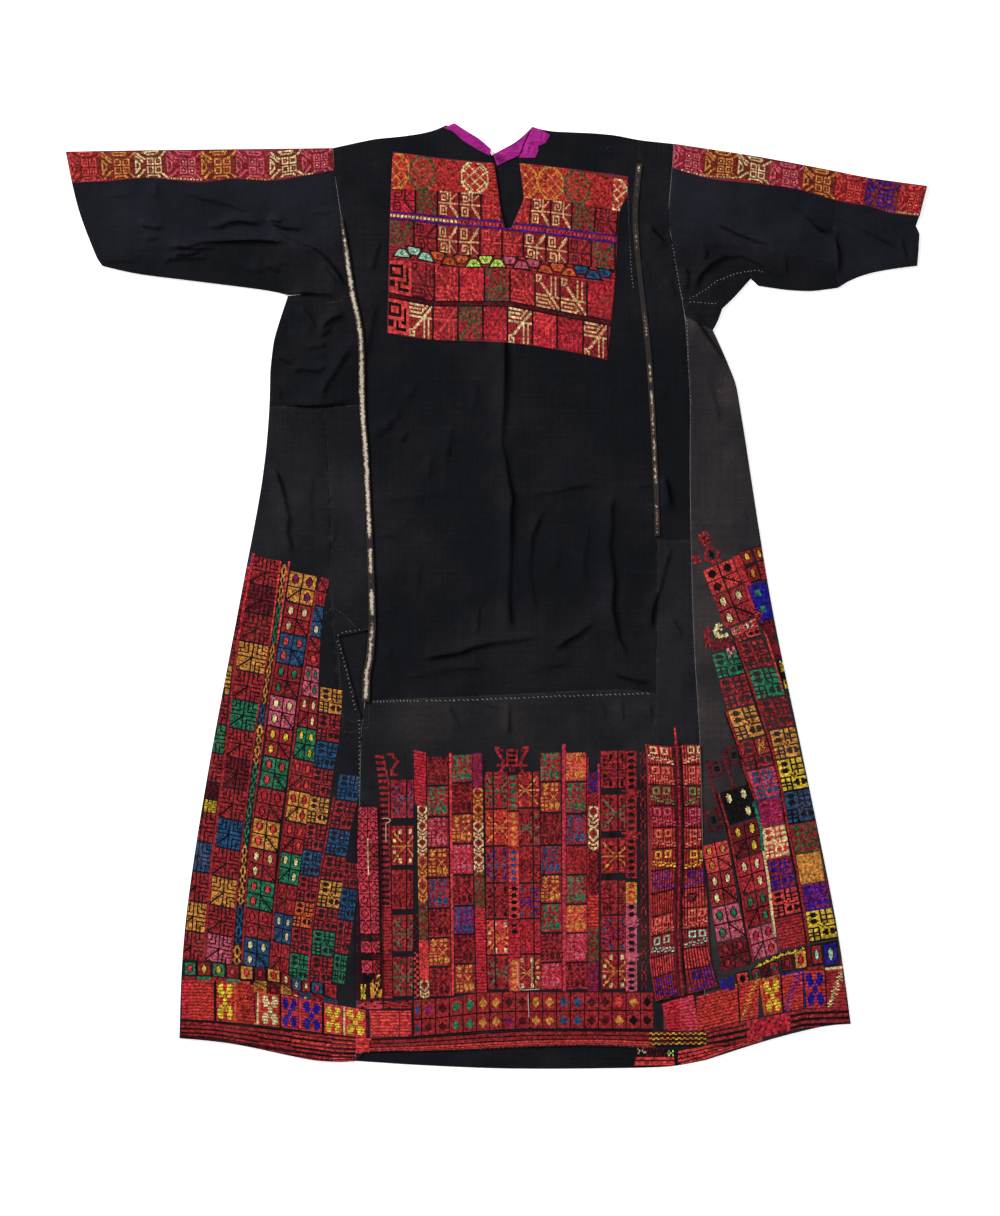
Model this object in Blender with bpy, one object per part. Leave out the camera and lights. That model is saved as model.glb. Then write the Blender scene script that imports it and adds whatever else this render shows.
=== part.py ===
"""A Palestinian thobe dress, laid flat: its cut and sewn pieces as thin walls that lie on each other.

+X runs to the dress's right-hand edge as it is looked at from above, +Y towards the collar, +Z up.
The origin is on the surface, under the middle of the whole dress. Every table is in millimetres.
"""
import bpy
import bmesh
from math import cos, floor, hypot, pi
from mathutils import Vector

MM = 0.001
CLOTH = 1.2        # thickness of one cloth
GAP = 0.3          # between two cloths, and between two pieces at a seam
LAYER = CLOTH + GAP
COLUMN = 20.0      # the cloth bends on a lattice of cells of this width and height
ROW = 40.0
SPAN = 30.0        # longest straight run of a cut edge
LOFT = 0.8         # how far the front stands off the back, away from the edges
EDGE = 50.0        # distance from the folded edges over which the loft grows
SAME_POINT = 0.6   # two points of an outline closer than this are one
SNAP = 0.02        # a corner closer than this to a lattice line lies on it
SHARPEST = 0.35    # cosine that keeps a sharp corner from being moved too far in


# ---------------------------------------------------------------- lines that the pieces share

def smooth(*points):
    """A curve through the points (Catmull-Rom), as runs no longer than SPAN."""
    curve = [points[0]]
    ends = [points[0], *points, points[-1]]
    for (ax, ay), (bx, by), (cx, cy), (dx, dy) in zip(ends, ends[1:], ends[2:], ends[3:]):
        runs = max(1, round(hypot(cx - bx, cy - by) / SPAN))
        for run in range(1, runs + 1):
            t = run / runs
            weights = (-t + 2*t*t - t**3, 2 - 5*t*t + 3*t**3, t + 4*t*t - 3*t**3, t**3 - t*t)
            curve.append((sum(w * p for w, p in zip(weights, (ax, bx, cx, dx))) / 2,
                          sum(w * p for w, p in zip(weights, (ay, by, cy, dy))) / 2))
    return curve


def at(curve, height):
    """The point of an up-and-down line at a height."""
    for (ax, ay), (bx, by) in zip(curve, curve[1:]):
        if min(ay, by) <= height <= max(ay, by) and ay != by:
            return (ax + (bx - ax) * (height - ay) / (by - ay), height)
    raise ValueError(height)


def stretch(curve, start, end):
    """The stretch of an up-and-down line between two heights, from start to end."""
    inner = [p for p in curve if min(start, end) < p[1] < max(start, end)]
    inner.sort(key=lambda p: p[1], reverse=start > end)
    return [at(curve, start), *inner, at(curve, end)]


def outline(*runs):
    """One closed outline from lines that follow each other; a shared corner is kept once."""
    points = [p for run in runs for p in run]
    following = points[1:] + points[:1]
    return [p for p, q in zip(points, following) if hypot(p[0] - q[0], p[1] - q[1]) > SAME_POINT]


# Folded and open edges of the dress, clockwise from the left cuff. Points are (x, y).
SLEEVE_TOP_LEFT = smooth((-603, 622), (-485, 624), (-309, 626), (-229, 627))
SHOULDER_LEFT = smooth((-229, 627), (-169, 640), (-135, 643), (-85, 651), (-71, 659))
NECK_LEFT = smooth((-71, 659), (-57, 656), (-43, 644), (-23, 630), (-8, 620))
NECK_BACK = smooth((-8, 616), (15, 629), (31, 636), (50, 657))
NECK_RIGHT = smooth((31, 613), (40, 634), (50, 657))
SHOULDER_RIGHT = smooth((50, 657), (66, 651), (134, 648), (167, 645), (200, 638))
SHOULDER_STRIP_TOP = smooth((200, 638), (248, 633))
SLEEVE_TOP_RIGHT = smooth((248, 633), (366, 615), (478, 594))
CUFF_TOP_RIGHT = smooth((478, 594), (523, 585), (603, 574))
CUFF_RIGHT = smooth((603, 574), (592, 531), (587, 518), (592, 507), (589, 462))
CUFF_FOOT_RIGHT = smooth((589, 462), (542, 456), (503, 447), (478, 431))
SLEEVE_FOOT_RIGHT = smooth((478, 431), (440, 426), (405, 428), (366, 434), (356, 444))
GUSSET_EDGE = smooth((356, 444), (332, 417), (316, 402), (310, 384), (303, 372))
SIDE_RIGHT = smooth((303, 372), (331, 308), (342, 258), (384, -6), (430, -230), (475, -454), (496, -599))
HEM_RIGHT = smooth((496, -599), (464, -601), (386, -620), (292, -650))
HEM_BACK = smooth((292, -650), (248, -659), (50, -662), (-85, -658), (-197, -651))
HEM_STRIP = smooth((292, -650), (257, -641), (220, -636))
HEM_FRONT = smooth((220, -636), (173, -631), (75, -630), (-65, -636), (-186, -639), (-197, -651))
HEM_LEFT = smooth((-197, -651), (-250, -651), (-368, -627), (-444, -619))
SIDE_LEFT = smooth((-444, -619), (-440, -510), (-428, -398), (-401, -230), (-359, -6), (-328, 162),
                   (-318, 266), (-317, 316), (-312, 358), (-292, 420))
SLEEVE_FOOT_LEFT = smooth((-292, 420), (-309, 426), (-426, 441), (-505, 451), (-552, 462))
CUFF_LEFT = smooth((-552, 462), (-559, 472), (-586, 543), (-603, 622))
SILHOUETTE = outline(SLEEVE_TOP_LEFT, SHOULDER_LEFT, NECK_LEFT, NECK_BACK, SHOULDER_RIGHT, SHOULDER_STRIP_TOP,
                     SLEEVE_TOP_RIGHT, CUFF_TOP_RIGHT, CUFF_RIGHT, CUFF_FOOT_RIGHT, SLEEVE_FOOT_RIGHT,
                     GUSSET_EDGE, SIDE_RIGHT, HEM_RIGHT, HEM_BACK, HEM_LEFT, SIDE_LEFT, SLEEVE_FOOT_LEFT,
                     CUFF_LEFT)

# Seams that run down, each from its top to its foot. Points are (x, y).
ARMHOLE_LEFT = smooth((-229, 627), (-227, 595), (-218, 535), (-212, 494))
TAPE_SEAM_LEFT = smooth((-212, 494), (-201, 419), (-190, 365), (-188, 269), (-181, 162), (-174, -45),
                        (-182, -110), (-183, -146), (-190, -202), (-194, -496), (-197, -651))
TAPE_SEAM_RIGHT = smooth((200, 638), (200, 605), (194, 545), (197, 480), (212, 346), (220, 218), (225, 79),
                         (223, -137), (222, -286), (220, -636))
ARMHOLE_RIGHT = smooth((248, 633), (246, 599), (240, 524), (247, 490), (261, 407), (264, 391))
GORE_SEAM_RIGHT = smooth((264, 391), (271, 277), (271, 151), (276, -53), (285, -209), (290, -426),
                         (292, -650))
GORE_SEAM_LEFT = smooth((-241, 263), (-232, 106), (-232, -20), (-212, -192), (-190, -202))
CUFF_SEAM = smooth((478, 594), (471, 519), (473, 468))
CUFF_SEAM_FOOT = smooth((473, 468), (478, 431))
SLIT_LEFT = smooth((-8, 620), (-2, 601), (7, 533), (12, 515))
SLIT_RIGHT = smooth((31, 613), (34, 589), (38, 556), (30, 536), (20, 515))

# Seams that run across, each from left to right.
UNDER_SEAM_LEFT = smooth((-559, 472), (-471, 486), (-415, 493), (-331, 498), (-272, 490), (-212, 494))
ARMPIT_SEAM_LEFT = smooth((-292, 420), (-250, 424), (-201, 419))
GORE_TOP_LEFT = smooth((-318, 266), (-241, 263))
STRIP_TOP_LEFT = smooth((-241, 263), (-188, 269))
UNDER_SEAM_RIGHT = smooth((247, 490), (334, 494), (383, 483), (425, 473), (473, 468))
GUSSET_SEAM = smooth((261, 407), (313, 441), (338, 456), (354, 457), (356, 444))
GORE_TOP_RIGHT = smooth((264, 391), (303, 372))
WHIP_SEAM = smooth((-183, -146), (-135, -144), (5, -138), (173, -130), (223, -137))
STRIP_SEAM_RIGHT = smooth((225, 79), at(GORE_SEAM_RIGHT, 79))

# The open pocket slit beside the left tape: its upper corner and its foot.
POCKET_SLIT = [(-221, -56), (-189, -172)]


# ---------------------------------------------------------------- how the front lies

# The largest folds, as soft ridges: name, start (x, y), end (x, y), half width, height.
FOLDS = (
    ("centre, upper", (12, 351), (20, 204), 28, 2.4),
    ("centre, lower", (20, 204), (23, -20), 28, 2.8),
    ("below the middle", (68, 60), (58, -76), 26, 2.0),
    ("left of the centre", (-26, 20), (-29, -70), 24, 1.6),
    ("right long, upper", (159, 148), (172, 0), 30, 2.4),
    ("right long, lower", (172, 0), (192, -150), 30, 3.0),
    ("press line across", (-165, 134), (215, 134), 34, 1.0),
    ("above the whip seam", (-130, -88), (110, -58), 34, 2.6),
    ("lower panel", (16, -150), (14, -230), 24, 2.0),
    ("right shoulder", (205, 560), (238, 480), 26, 2.4),
    ("left sleeve, upper", (-430, 572), (-290, 512), 32, 2.8),
    ("left sleeve, under", (-430, 482), (-260, 484), 34, 3.2),
    ("left armhole", (-280, 480), (-218, 425), 28, 3.0),
    ("left underarm, down", (-285, 405), (-250, 370), 28, 3.6),
    ("left underarm, up", (-250, 372), (-205, 400), 28, 3.6),
    ("left underarm, long", (-198, 350), (-246, 285), 28, 3.0),
    ("left gore, upper", (-312, 190), (-290, 110), 30, 3.0),
    ("left gore, lower", (-290, 110), (-284, 20), 30, 2.4),
    ("right sleeve, broad", (370, 570), (476, 500), 36, 4.0),
    ("right sleeve, inner", (280, 528), (420, 478), 34, 2.8),
    ("right sleeve, underarm", (282, 488), (300, 440), 28, 3.2),
    ("right cuff", (505, 535), (578, 484), 32, 2.8),
    ("right gore, upper", (268, 382), (318, 318), 30, 4.0),
    ("right gore, side", (318, 318), (330, 200), 30, 2.4),
    ("right strip", (246, 40), (252, -160), 28, 2.4),
)


def beside(x, y, start, end):
    """How far along a straight run (0 to 1) and how far from it a point lies."""
    run_x, run_y = end[0] - start[0], end[1] - start[1]
    along = ((x - start[0]) * run_x + (y - start[1]) * run_y) / (run_x**2 + run_y**2)
    held = min(1.0, max(0.0, along))
    return along, hypot(x - start[0] - held * run_x, y - start[1] - held * run_y)


def inside(x, y):
    """Whether a point lies on the dress, by counting the edges to its right."""
    crossings = 0
    for (ax, ay), (bx, by) in zip(SILHOUETTE, SILHOUETTE[1:] + SILHOUETTE[:1]):
        if (ay > y) != (by > y) and x < ax + (bx - ax) * (y - ay) / (by - ay):
            crossings += 1
    return crossings % 2 == 1


def lift(x, y):
    """Height of the front above its lowest place: a loft that is nothing at the edges, and the folds."""
    if not inside(x, y):
        return 0.0
    runs = zip(SILHOUETTE, SILHOUETTE[1:] + SILHOUETTE[:1])
    from_edge = min(beside(x, y, start, end)[1] for start, end in runs)
    height = LOFT
    for _name, start, end, half_width, fold_height in FOLDS:
        away = beside(x, y, start, end)[1]
        if away < half_width:
            height += fold_height * (1 + cos(pi * away / half_width)) / 2
    return height * min(1.0, from_edge / EDGE)


LATTICE = {}


def corner(column, row):
    """Lift at a corner of the lattice."""
    if (column, row) not in LATTICE:
        LATTICE[column, row] = lift(column * COLUMN, row * ROW)
    return LATTICE[column, row]


def lattice_lift(x, y):
    """Lift between the corners: each cell is two flat triangles, split along its rising diagonal."""
    column, row = floor(x / COLUMN), floor(y / ROW)
    u, v = x / COLUMN - column, y / ROW - row
    low, high = corner(column, row), corner(column + 1, row + 1)
    if u > v:
        side = corner(column + 1, row)
        return low + u * (side - low) + v * (high - side)
    side = corner(column, row + 1)
    return low + v * (side - low) + u * (high - side)


# ---------------------------------------------------------------- making a piece

def inset(points, distance):
    """The outline moved inwards, so that two pieces at one seam stand apart."""
    area = sum(ax * by - bx * ay for (ax, ay), (bx, by) in zip(points, points[1:] + points[:1]))
    inwards = distance if area > 0 else -distance
    moved = []
    for before, here, after in zip(points[-1:] + points[:-1], points, points[1:] + points[:1]):
        before_run = Vector((here[0] - before[0], here[1] - before[1])).normalized()
        after_run = Vector((after[0] - here[0], after[1] - here[1])).normalized()
        normal = Vector((-before_run.y - after_run.y, before_run.x + after_run.x)).normalized()
        stretch_out = max(SHARPEST, normal.dot(Vector((-after_run.y, after_run.x))))
        moved.append((here[0] + normal.x * inwards / stretch_out, here[1] + normal.y * inwards / stretch_out))
    return moved


def cut_on_lattice(sheet, low_x, high_x, low_y, high_y):
    """Cuts a flat sheet along the lattice's columns, rows and diagonals."""
    columns = range(floor(low_x / COLUMN), floor(high_x / COLUMN) + 2)
    rows = range(floor(low_y / ROW), floor(high_y / ROW) + 2)
    diagonals = range(floor(low_x / COLUMN - high_y / ROW) - 1, floor(high_x / COLUMN - low_y / ROW) + 2)
    across = Vector((ROW, -COLUMN, 0)).normalized()
    lines = [((column * COLUMN, 0, 0), (1, 0, 0)) for column in columns]
    lines += [((0, row * ROW, 0), (0, 1, 0)) for row in rows]
    lines += [((diagonal * COLUMN, 0, 0), across) for diagonal in diagonals]
    for place, normal in lines:
        bmesh.ops.bisect_plane(sheet, geom=sheet.verts[:] + sheet.edges[:] + sheet.faces[:],
                               dist=SNAP, plane_co=place, plane_no=normal)


def piece(name, points, layer, colour, roughness=0.9, thickness=CLOTH):
    """One cut piece: its outline filled, bent with the cloth under it, and given its wall.

    layer counts the cloths that lie under it; those on layer 0 lie flat on the surface.
    """
    cut = inset(points, GAP / 2)
    sheet = bmesh.new()
    sheet.faces.new([sheet.verts.new((x, y, 0)) for x, y in cut])
    if layer:
        xs, ys = [x for x, _y in cut], [y for _x, y in cut]
        cut_on_lattice(sheet, min(xs), max(xs), min(ys), max(ys))
        for vert in sheet.verts:
            vert.co.z = layer * LAYER + lattice_lift(vert.co.x, vert.co.y)
    top = bmesh.ops.extrude_face_region(sheet, geom=sheet.faces[:], use_keep_orig=True)["geom"]
    top_verts = [item for item in top if isinstance(item, bmesh.types.BMVert)]
    bmesh.ops.translate(sheet, vec=(0, 0, thickness), verts=top_verts)
    bmesh.ops.triangulate(sheet, faces=sheet.faces[:])
    bmesh.ops.recalc_face_normals(sheet, faces=sheet.faces[:])
    bmesh.ops.scale(sheet, vec=(MM, MM, MM), verts=sheet.verts[:])
    mesh = bpy.data.meshes.new(name)
    sheet.to_mesh(mesh)
    sheet.free()
    material = bpy.data.materials.new(name)
    material.use_nodes = True
    shader = material.node_tree.nodes["Principled BSDF"]
    shader.inputs["Base Color"].default_value = (*colour, 1)
    shader.inputs["Roughness"].default_value = roughness
    mesh.materials.append(material)
    bpy.context.scene.collection.objects.link(bpy.data.objects.new(name, mesh))


for old in list(bpy.data.objects):
    bpy.data.objects.remove(old)

NAVY = (0.012, 0.013, 0.020)
BLACK = (0.008, 0.009, 0.011)
CHARCOAL = (0.022, 0.021, 0.021)
BROWNISH = (0.032, 0.028, 0.026)
CREAM = (0.42, 0.34, 0.24)
PURPLE = (0.30, 0.02, 0.24)
MADDER = (0.30, 0.035, 0.05)
CRIMSON = (0.42, 0.03, 0.06)
ROSE = (0.50, 0.10, 0.14)
ORANGE = (0.50, 0.12, 0.05)

# ---------------------------------------------------------------- the back, flat on the surface

piece("back_centre", outline(SHOULDER_LEFT, NECK_LEFT, NECK_BACK, SHOULDER_RIGHT, SHOULDER_STRIP_TOP,
                             ARMHOLE_RIGHT, GORE_SEAM_RIGHT, HEM_BACK, TAPE_SEAM_LEFT[::-1],
                             ARMHOLE_LEFT[::-1]), 0, BLACK)
piece("back_gore_left", outline(ARMPIT_SEAM_LEFT, stretch(TAPE_SEAM_LEFT, 419, -651), HEM_LEFT, SIDE_LEFT),
      0, CHARCOAL)
piece("back_gore_right", outline(GORE_TOP_RIGHT, SIDE_RIGHT, HEM_RIGHT, GORE_SEAM_RIGHT[::-1]), 0, BROWNISH)
piece("back_sleeve_left", outline(SLEEVE_TOP_LEFT, ARMHOLE_LEFT, stretch(TAPE_SEAM_LEFT, 494, 419),
                                  ARMPIT_SEAM_LEFT[::-1], SLEEVE_FOOT_LEFT, CUFF_LEFT), 0, NAVY)
piece("back_sleeve_right", outline(SLEEVE_TOP_RIGHT, CUFF_TOP_RIGHT, CUFF_RIGHT, CUFF_FOOT_RIGHT,
                                   SLEEVE_FOOT_RIGHT, GUSSET_EDGE, GORE_TOP_RIGHT[::-1],
                                   ARMHOLE_RIGHT[::-1]), 0, NAVY)

# ---------------------------------------------------------------- the front body

piece("front_centre", outline(SHOULDER_LEFT, NECK_LEFT, SLIT_LEFT, SLIT_RIGHT[::-1], NECK_RIGHT,
                              SHOULDER_RIGHT, stretch(TAPE_SEAM_RIGHT, 638, -137), WHIP_SEAM[::-1],
                              stretch(TAPE_SEAM_LEFT, -146, 494), ARMHOLE_LEFT[::-1]), 1, BLACK)
piece("front_lower", outline(WHIP_SEAM, stretch(TAPE_SEAM_RIGHT, -137, -636), HEM_FRONT,
                             stretch(TAPE_SEAM_LEFT, -651, -146)), 1, BLACK)
piece("shoulder_strip_right", outline(SHOULDER_STRIP_TOP, ARMHOLE_RIGHT, stretch(GORE_SEAM_RIGHT, 391, 79),
                                      STRIP_SEAM_RIGHT[::-1], stretch(TAPE_SEAM_RIGHT, 79, 638)), 1, BLACK)
piece("side_strip_right", outline(STRIP_SEAM_RIGHT, stretch(GORE_SEAM_RIGHT, 79, -650), HEM_STRIP,
                                  stretch(TAPE_SEAM_RIGHT, -636, 79)), 1, CHARCOAL)
piece("gore_right", outline(GORE_TOP_RIGHT, SIDE_RIGHT, HEM_RIGHT, GORE_SEAM_RIGHT[::-1]), 1, BROWNISH)
piece("underarm_left", outline(ARMPIT_SEAM_LEFT, stretch(TAPE_SEAM_LEFT, 419, 269), STRIP_TOP_LEFT[::-1],
                               GORE_TOP_LEFT[::-1], stretch(SIDE_LEFT, 266, 420)), 1, BLACK)
piece("side_strip_left", outline(STRIP_TOP_LEFT, stretch(TAPE_SEAM_LEFT, 269, -46), POCKET_SLIT,
                                 stretch(TAPE_SEAM_LEFT, -178, -202), GORE_SEAM_LEFT[::-1]), 1, CHARCOAL)
piece("gore_left", outline(GORE_TOP_LEFT, GORE_SEAM_LEFT, stretch(TAPE_SEAM_LEFT, -202, -651), HEM_LEFT,
                           stretch(SIDE_LEFT, -619, 266)), 1, CHARCOAL)

# ---------------------------------------------------------------- the sleeves

piece("sleeve_left", outline(SLEEVE_TOP_LEFT, ARMHOLE_LEFT, UNDER_SEAM_LEFT[::-1],
                             stretch(CUFF_LEFT, 472, 622)), 1, NAVY)
piece("sleeve_under_left", outline(UNDER_SEAM_LEFT, stretch(TAPE_SEAM_LEFT, 494, 419),
                                   ARMPIT_SEAM_LEFT[::-1], SLEEVE_FOOT_LEFT,
                                   stretch(CUFF_LEFT, 462, 472)), 1, BLACK)
piece("sleeve_right", outline(SLEEVE_TOP_RIGHT, CUFF_SEAM, UNDER_SEAM_RIGHT[::-1],
                              stretch(ARMHOLE_RIGHT, 490, 633)), 1, NAVY)
piece("sleeve_cuff_right", outline(CUFF_TOP_RIGHT, CUFF_RIGHT, CUFF_FOOT_RIGHT, CUFF_SEAM_FOOT[::-1],
                                   CUFF_SEAM[::-1]), 1, NAVY)
piece("sleeve_under_right", outline(UNDER_SEAM_RIGHT, CUFF_SEAM_FOOT, SLEEVE_FOOT_RIGHT, GUSSET_SEAM[::-1],
                                    stretch(ARMHOLE_RIGHT, 407, 490)), 1, BROWNISH)
piece("gusset_right", outline(GUSSET_SEAM, GUSSET_EDGE, GORE_TOP_RIGHT[::-1],
                              stretch(ARMHOLE_RIGHT, 391, 407)), 1, BLACK)

# ---------------------------------------------------------------- what is sewn on top

BAND_FOOT_LEFT = smooth((-227, 595), (-268, 588), (-317, 580), (-366, 584), (-415, 578), (-485, 585),
                        (-541, 580), at(CUFF_LEFT, 578))
BAND_FOOT_RIGHT = smooth((592, 531), (551, 535), (523, 545), (478, 552), (425, 568), (358, 577), (296, 584),
                         (246, 599))
piece("sleeve_band_left", outline(SLEEVE_TOP_LEFT, stretch(ARMHOLE_LEFT, 627, 595), BAND_FOOT_LEFT,
                                  stretch(CUFF_LEFT, 578, 622)), 2, MADDER)
piece("sleeve_band_right", outline(SLEEVE_TOP_RIGHT, CUFF_TOP_RIGHT, stretch(CUFF_RIGHT, 574, 531),
                                   BAND_FOOT_RIGHT, stretch(ARMHOLE_RIGHT, 599, 633)), 2, MADDER)
piece("cuff_patch_right", outline(smooth((561, 515), (586, 516), (591, 506), (588, 464)),
                                  smooth((569, 463), (570, 487), (561, 515))), 2, NAVY)

CHEST_TOP_LEFT = smooth((-145, 622), (-72, 612), (-5, 606))
CHEST_TOP_RIGHT = smooth((33, 606), (103, 598), (184, 587))
CHEST_SIDE_RIGHT = smooth((184, 587), (184, 560), (172, 539), (166, 437), (155, 330))
CHEST_FOOT = smooth((155, 330), (117, 339), (18, 354), (-90, 358), (-153, 368))
CHEST_SIDE_LEFT = smooth((-153, 368), (-150, 496), (-148, 568), (-145, 622))
piece("chest_panel", outline(CHEST_TOP_LEFT, stretch(SLIT_LEFT, 604, 515), stretch(SLIT_RIGHT, 515, 606),
                             CHEST_TOP_RIGHT, CHEST_SIDE_RIGHT, CHEST_FOOT, CHEST_SIDE_LEFT), 2, MADDER)

# The satin binding: its outer edge along the neck, then its inner edge back.
SATIN_ROUGHNESS = 0.45
piece("binding_left", outline(smooth((-74, 655), (-59, 662), (-44, 652), (-24, 640), (-7, 625)),
                              smooth((-10, 616), (-24, 623), (-47, 637), (-61, 650), (-74, 655))),
      2, PURPLE, SATIN_ROUGHNESS)
piece("binding_back", outline(smooth((-5, 618), (15, 629), (31, 636), (46, 651)),
                              smooth((31, 616), (15, 609), (1, 602))), 1, PURPLE, SATIN_ROUGHNESS)
piece("binding_right", outline(smooth((50, 657), (64, 652), (75, 645)), [(69, 634), (58, 629), (59, 623)],
                               smooth((54, 613), (31, 613), (40, 634), (50, 657))),
      2, PURPLE, SATIN_ROUGHNESS)


def tape(name, line, widths):
    """A narrow strip along a seam; widths are rows of (height, width), from the top down."""
    left, right = [], []
    for x, y in line:
        above = max((row for row in widths if row[0] >= y), key=lambda row: -row[0])
        below = min((row for row in widths if row[0] <= y), key=lambda row: -row[0])
        blend = (above[0] - y) / (above[0] - below[0]) if above != below else 0
        half = (above[1] + blend * (below[1] - above[1])) / 2
        left.append((x - half, y))
        right.append((x + half, y))
    piece(name, outline(right, left[::-1]), 2, CREAM)


tape("tape_left", stretch(ARMHOLE_LEFT, 530, 494) + stretch(TAPE_SEAM_LEFT, 494, -148)[1:],
     ((530, 4), (480, 8), (360, 9), (100, 8), (-40, 10), (-148, 11)))
tape("tape_right", stretch(TAPE_SEAM_RIGHT, 605, 84), ((605, 9), (540, 8), (430, 7), (350, 8), (84, 7)))

piece("pink_patch", outline([(-195, -294), (-162, -294)], smooth((-162, -294), (-160, -430), (-159, -566)),
                            smooth((-197, -566), (-196, -430), (-195, -294))), 2, ROSE)
piece("striped_patch", outline(smooth((209, -207), (246, -211), (285, -209)),
                               smooth((285, -209), (288, -356), (295, -426), (299, -510), (310, -546)),
                               smooth((310, -546), (271, -556), (223, -567)),
                               smooth((223, -567), (215, -510), (212, -356), (209, -207))), 2, ORANGE)
piece("hem_patch_left", outline([(-178, -580), (-118, -580), (-118, -616), (-177, -619)]), 2, CRIMSON)
piece("hem_patch_right", outline([(233, -570), (276, -563), (284, -602), (234, -607)]), 2, CRIMSON)
piece("zigzag_strip_right", outline([(215, -610), (290, -610), (291, -629), (216, -630)]), 2, MADDER)
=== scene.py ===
"""A Palestinian thobe laid flat, face up, with its cotton, patches, bindings and cross-stitch."""

import math

import bpy
import numpy as np
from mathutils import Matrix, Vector
from mathutils.bvhtree import BVHTree
from mathutils.geometry import delaunay_2d_cdt
from mathutils.kdtree import KDTree


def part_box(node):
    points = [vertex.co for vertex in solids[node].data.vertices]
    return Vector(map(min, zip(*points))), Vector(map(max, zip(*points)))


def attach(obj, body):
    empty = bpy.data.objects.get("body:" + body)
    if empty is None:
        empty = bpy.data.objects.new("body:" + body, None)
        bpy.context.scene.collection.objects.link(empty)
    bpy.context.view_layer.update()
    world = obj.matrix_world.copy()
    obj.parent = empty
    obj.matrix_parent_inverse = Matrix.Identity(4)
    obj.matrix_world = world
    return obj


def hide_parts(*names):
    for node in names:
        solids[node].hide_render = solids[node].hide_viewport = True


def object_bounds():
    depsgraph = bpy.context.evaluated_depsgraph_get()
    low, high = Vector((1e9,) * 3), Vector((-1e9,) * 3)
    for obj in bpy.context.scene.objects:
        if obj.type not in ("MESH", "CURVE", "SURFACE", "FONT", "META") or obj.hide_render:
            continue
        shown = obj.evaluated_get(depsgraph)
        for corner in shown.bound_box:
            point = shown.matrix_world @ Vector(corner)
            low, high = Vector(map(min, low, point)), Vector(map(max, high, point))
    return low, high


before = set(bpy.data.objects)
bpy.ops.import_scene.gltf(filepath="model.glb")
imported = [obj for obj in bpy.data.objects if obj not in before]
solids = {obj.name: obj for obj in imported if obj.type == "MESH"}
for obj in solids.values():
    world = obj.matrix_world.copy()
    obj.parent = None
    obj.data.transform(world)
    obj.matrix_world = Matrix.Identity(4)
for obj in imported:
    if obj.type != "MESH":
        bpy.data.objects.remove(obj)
cad_low, cad_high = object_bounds()
bpy.ops.object.select_all(action="DESELECT")

# ---------------------------------------------------------------- The back
# The back is cut from hand-loomed cotton dyed black: one centre width, a gore on each side
# and the back halves of the sleeves, joined edge to edge by hand. It lies face down on the
# table, so its creases are the shallow ones that cloth keeps under its own weight.

MM = 0.001
SQUARE = 1.4  # mm, in which places on the dress are counted
MIDDLE = (496.5, 596)  # the middle of the table, in squares from its corner
THICK = 0.9  # mm, one cotton
WALL = 1.2  # mm, one cotton in the solids
STEP = 1.5  # mm, from one cloth to the next above it
PIECES = {}  # every piece made so far, by its name and by its solid's


def on_table(right, down):
    """A place in mm, from squares counted right and down from a corner of the table."""
    return np.array(((right - MIDDLE[0]) * SQUARE, (MIDDLE[1] - down) * SQUARE))


def path(text):
    """Places from text in which each is numbers with commas between; a list of places stays as it is."""
    if not isinstance(text, str):
        return text
    return [tuple(float(number) for number in spot.split(",")) for spot in text.split()]


def courses(text, squares=True):
    """Creases with a semicolon between: half width and height in mm, then the places each passes through."""
    made = []
    for crease in text.split(";"):
        half, height, course = crease.split(maxsplit=2)
        spots = [tuple(on_table(*spot)) if squares else spot for spot in path(course)]
        made.append((float(half), float(height), *spots))
    return made


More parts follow.
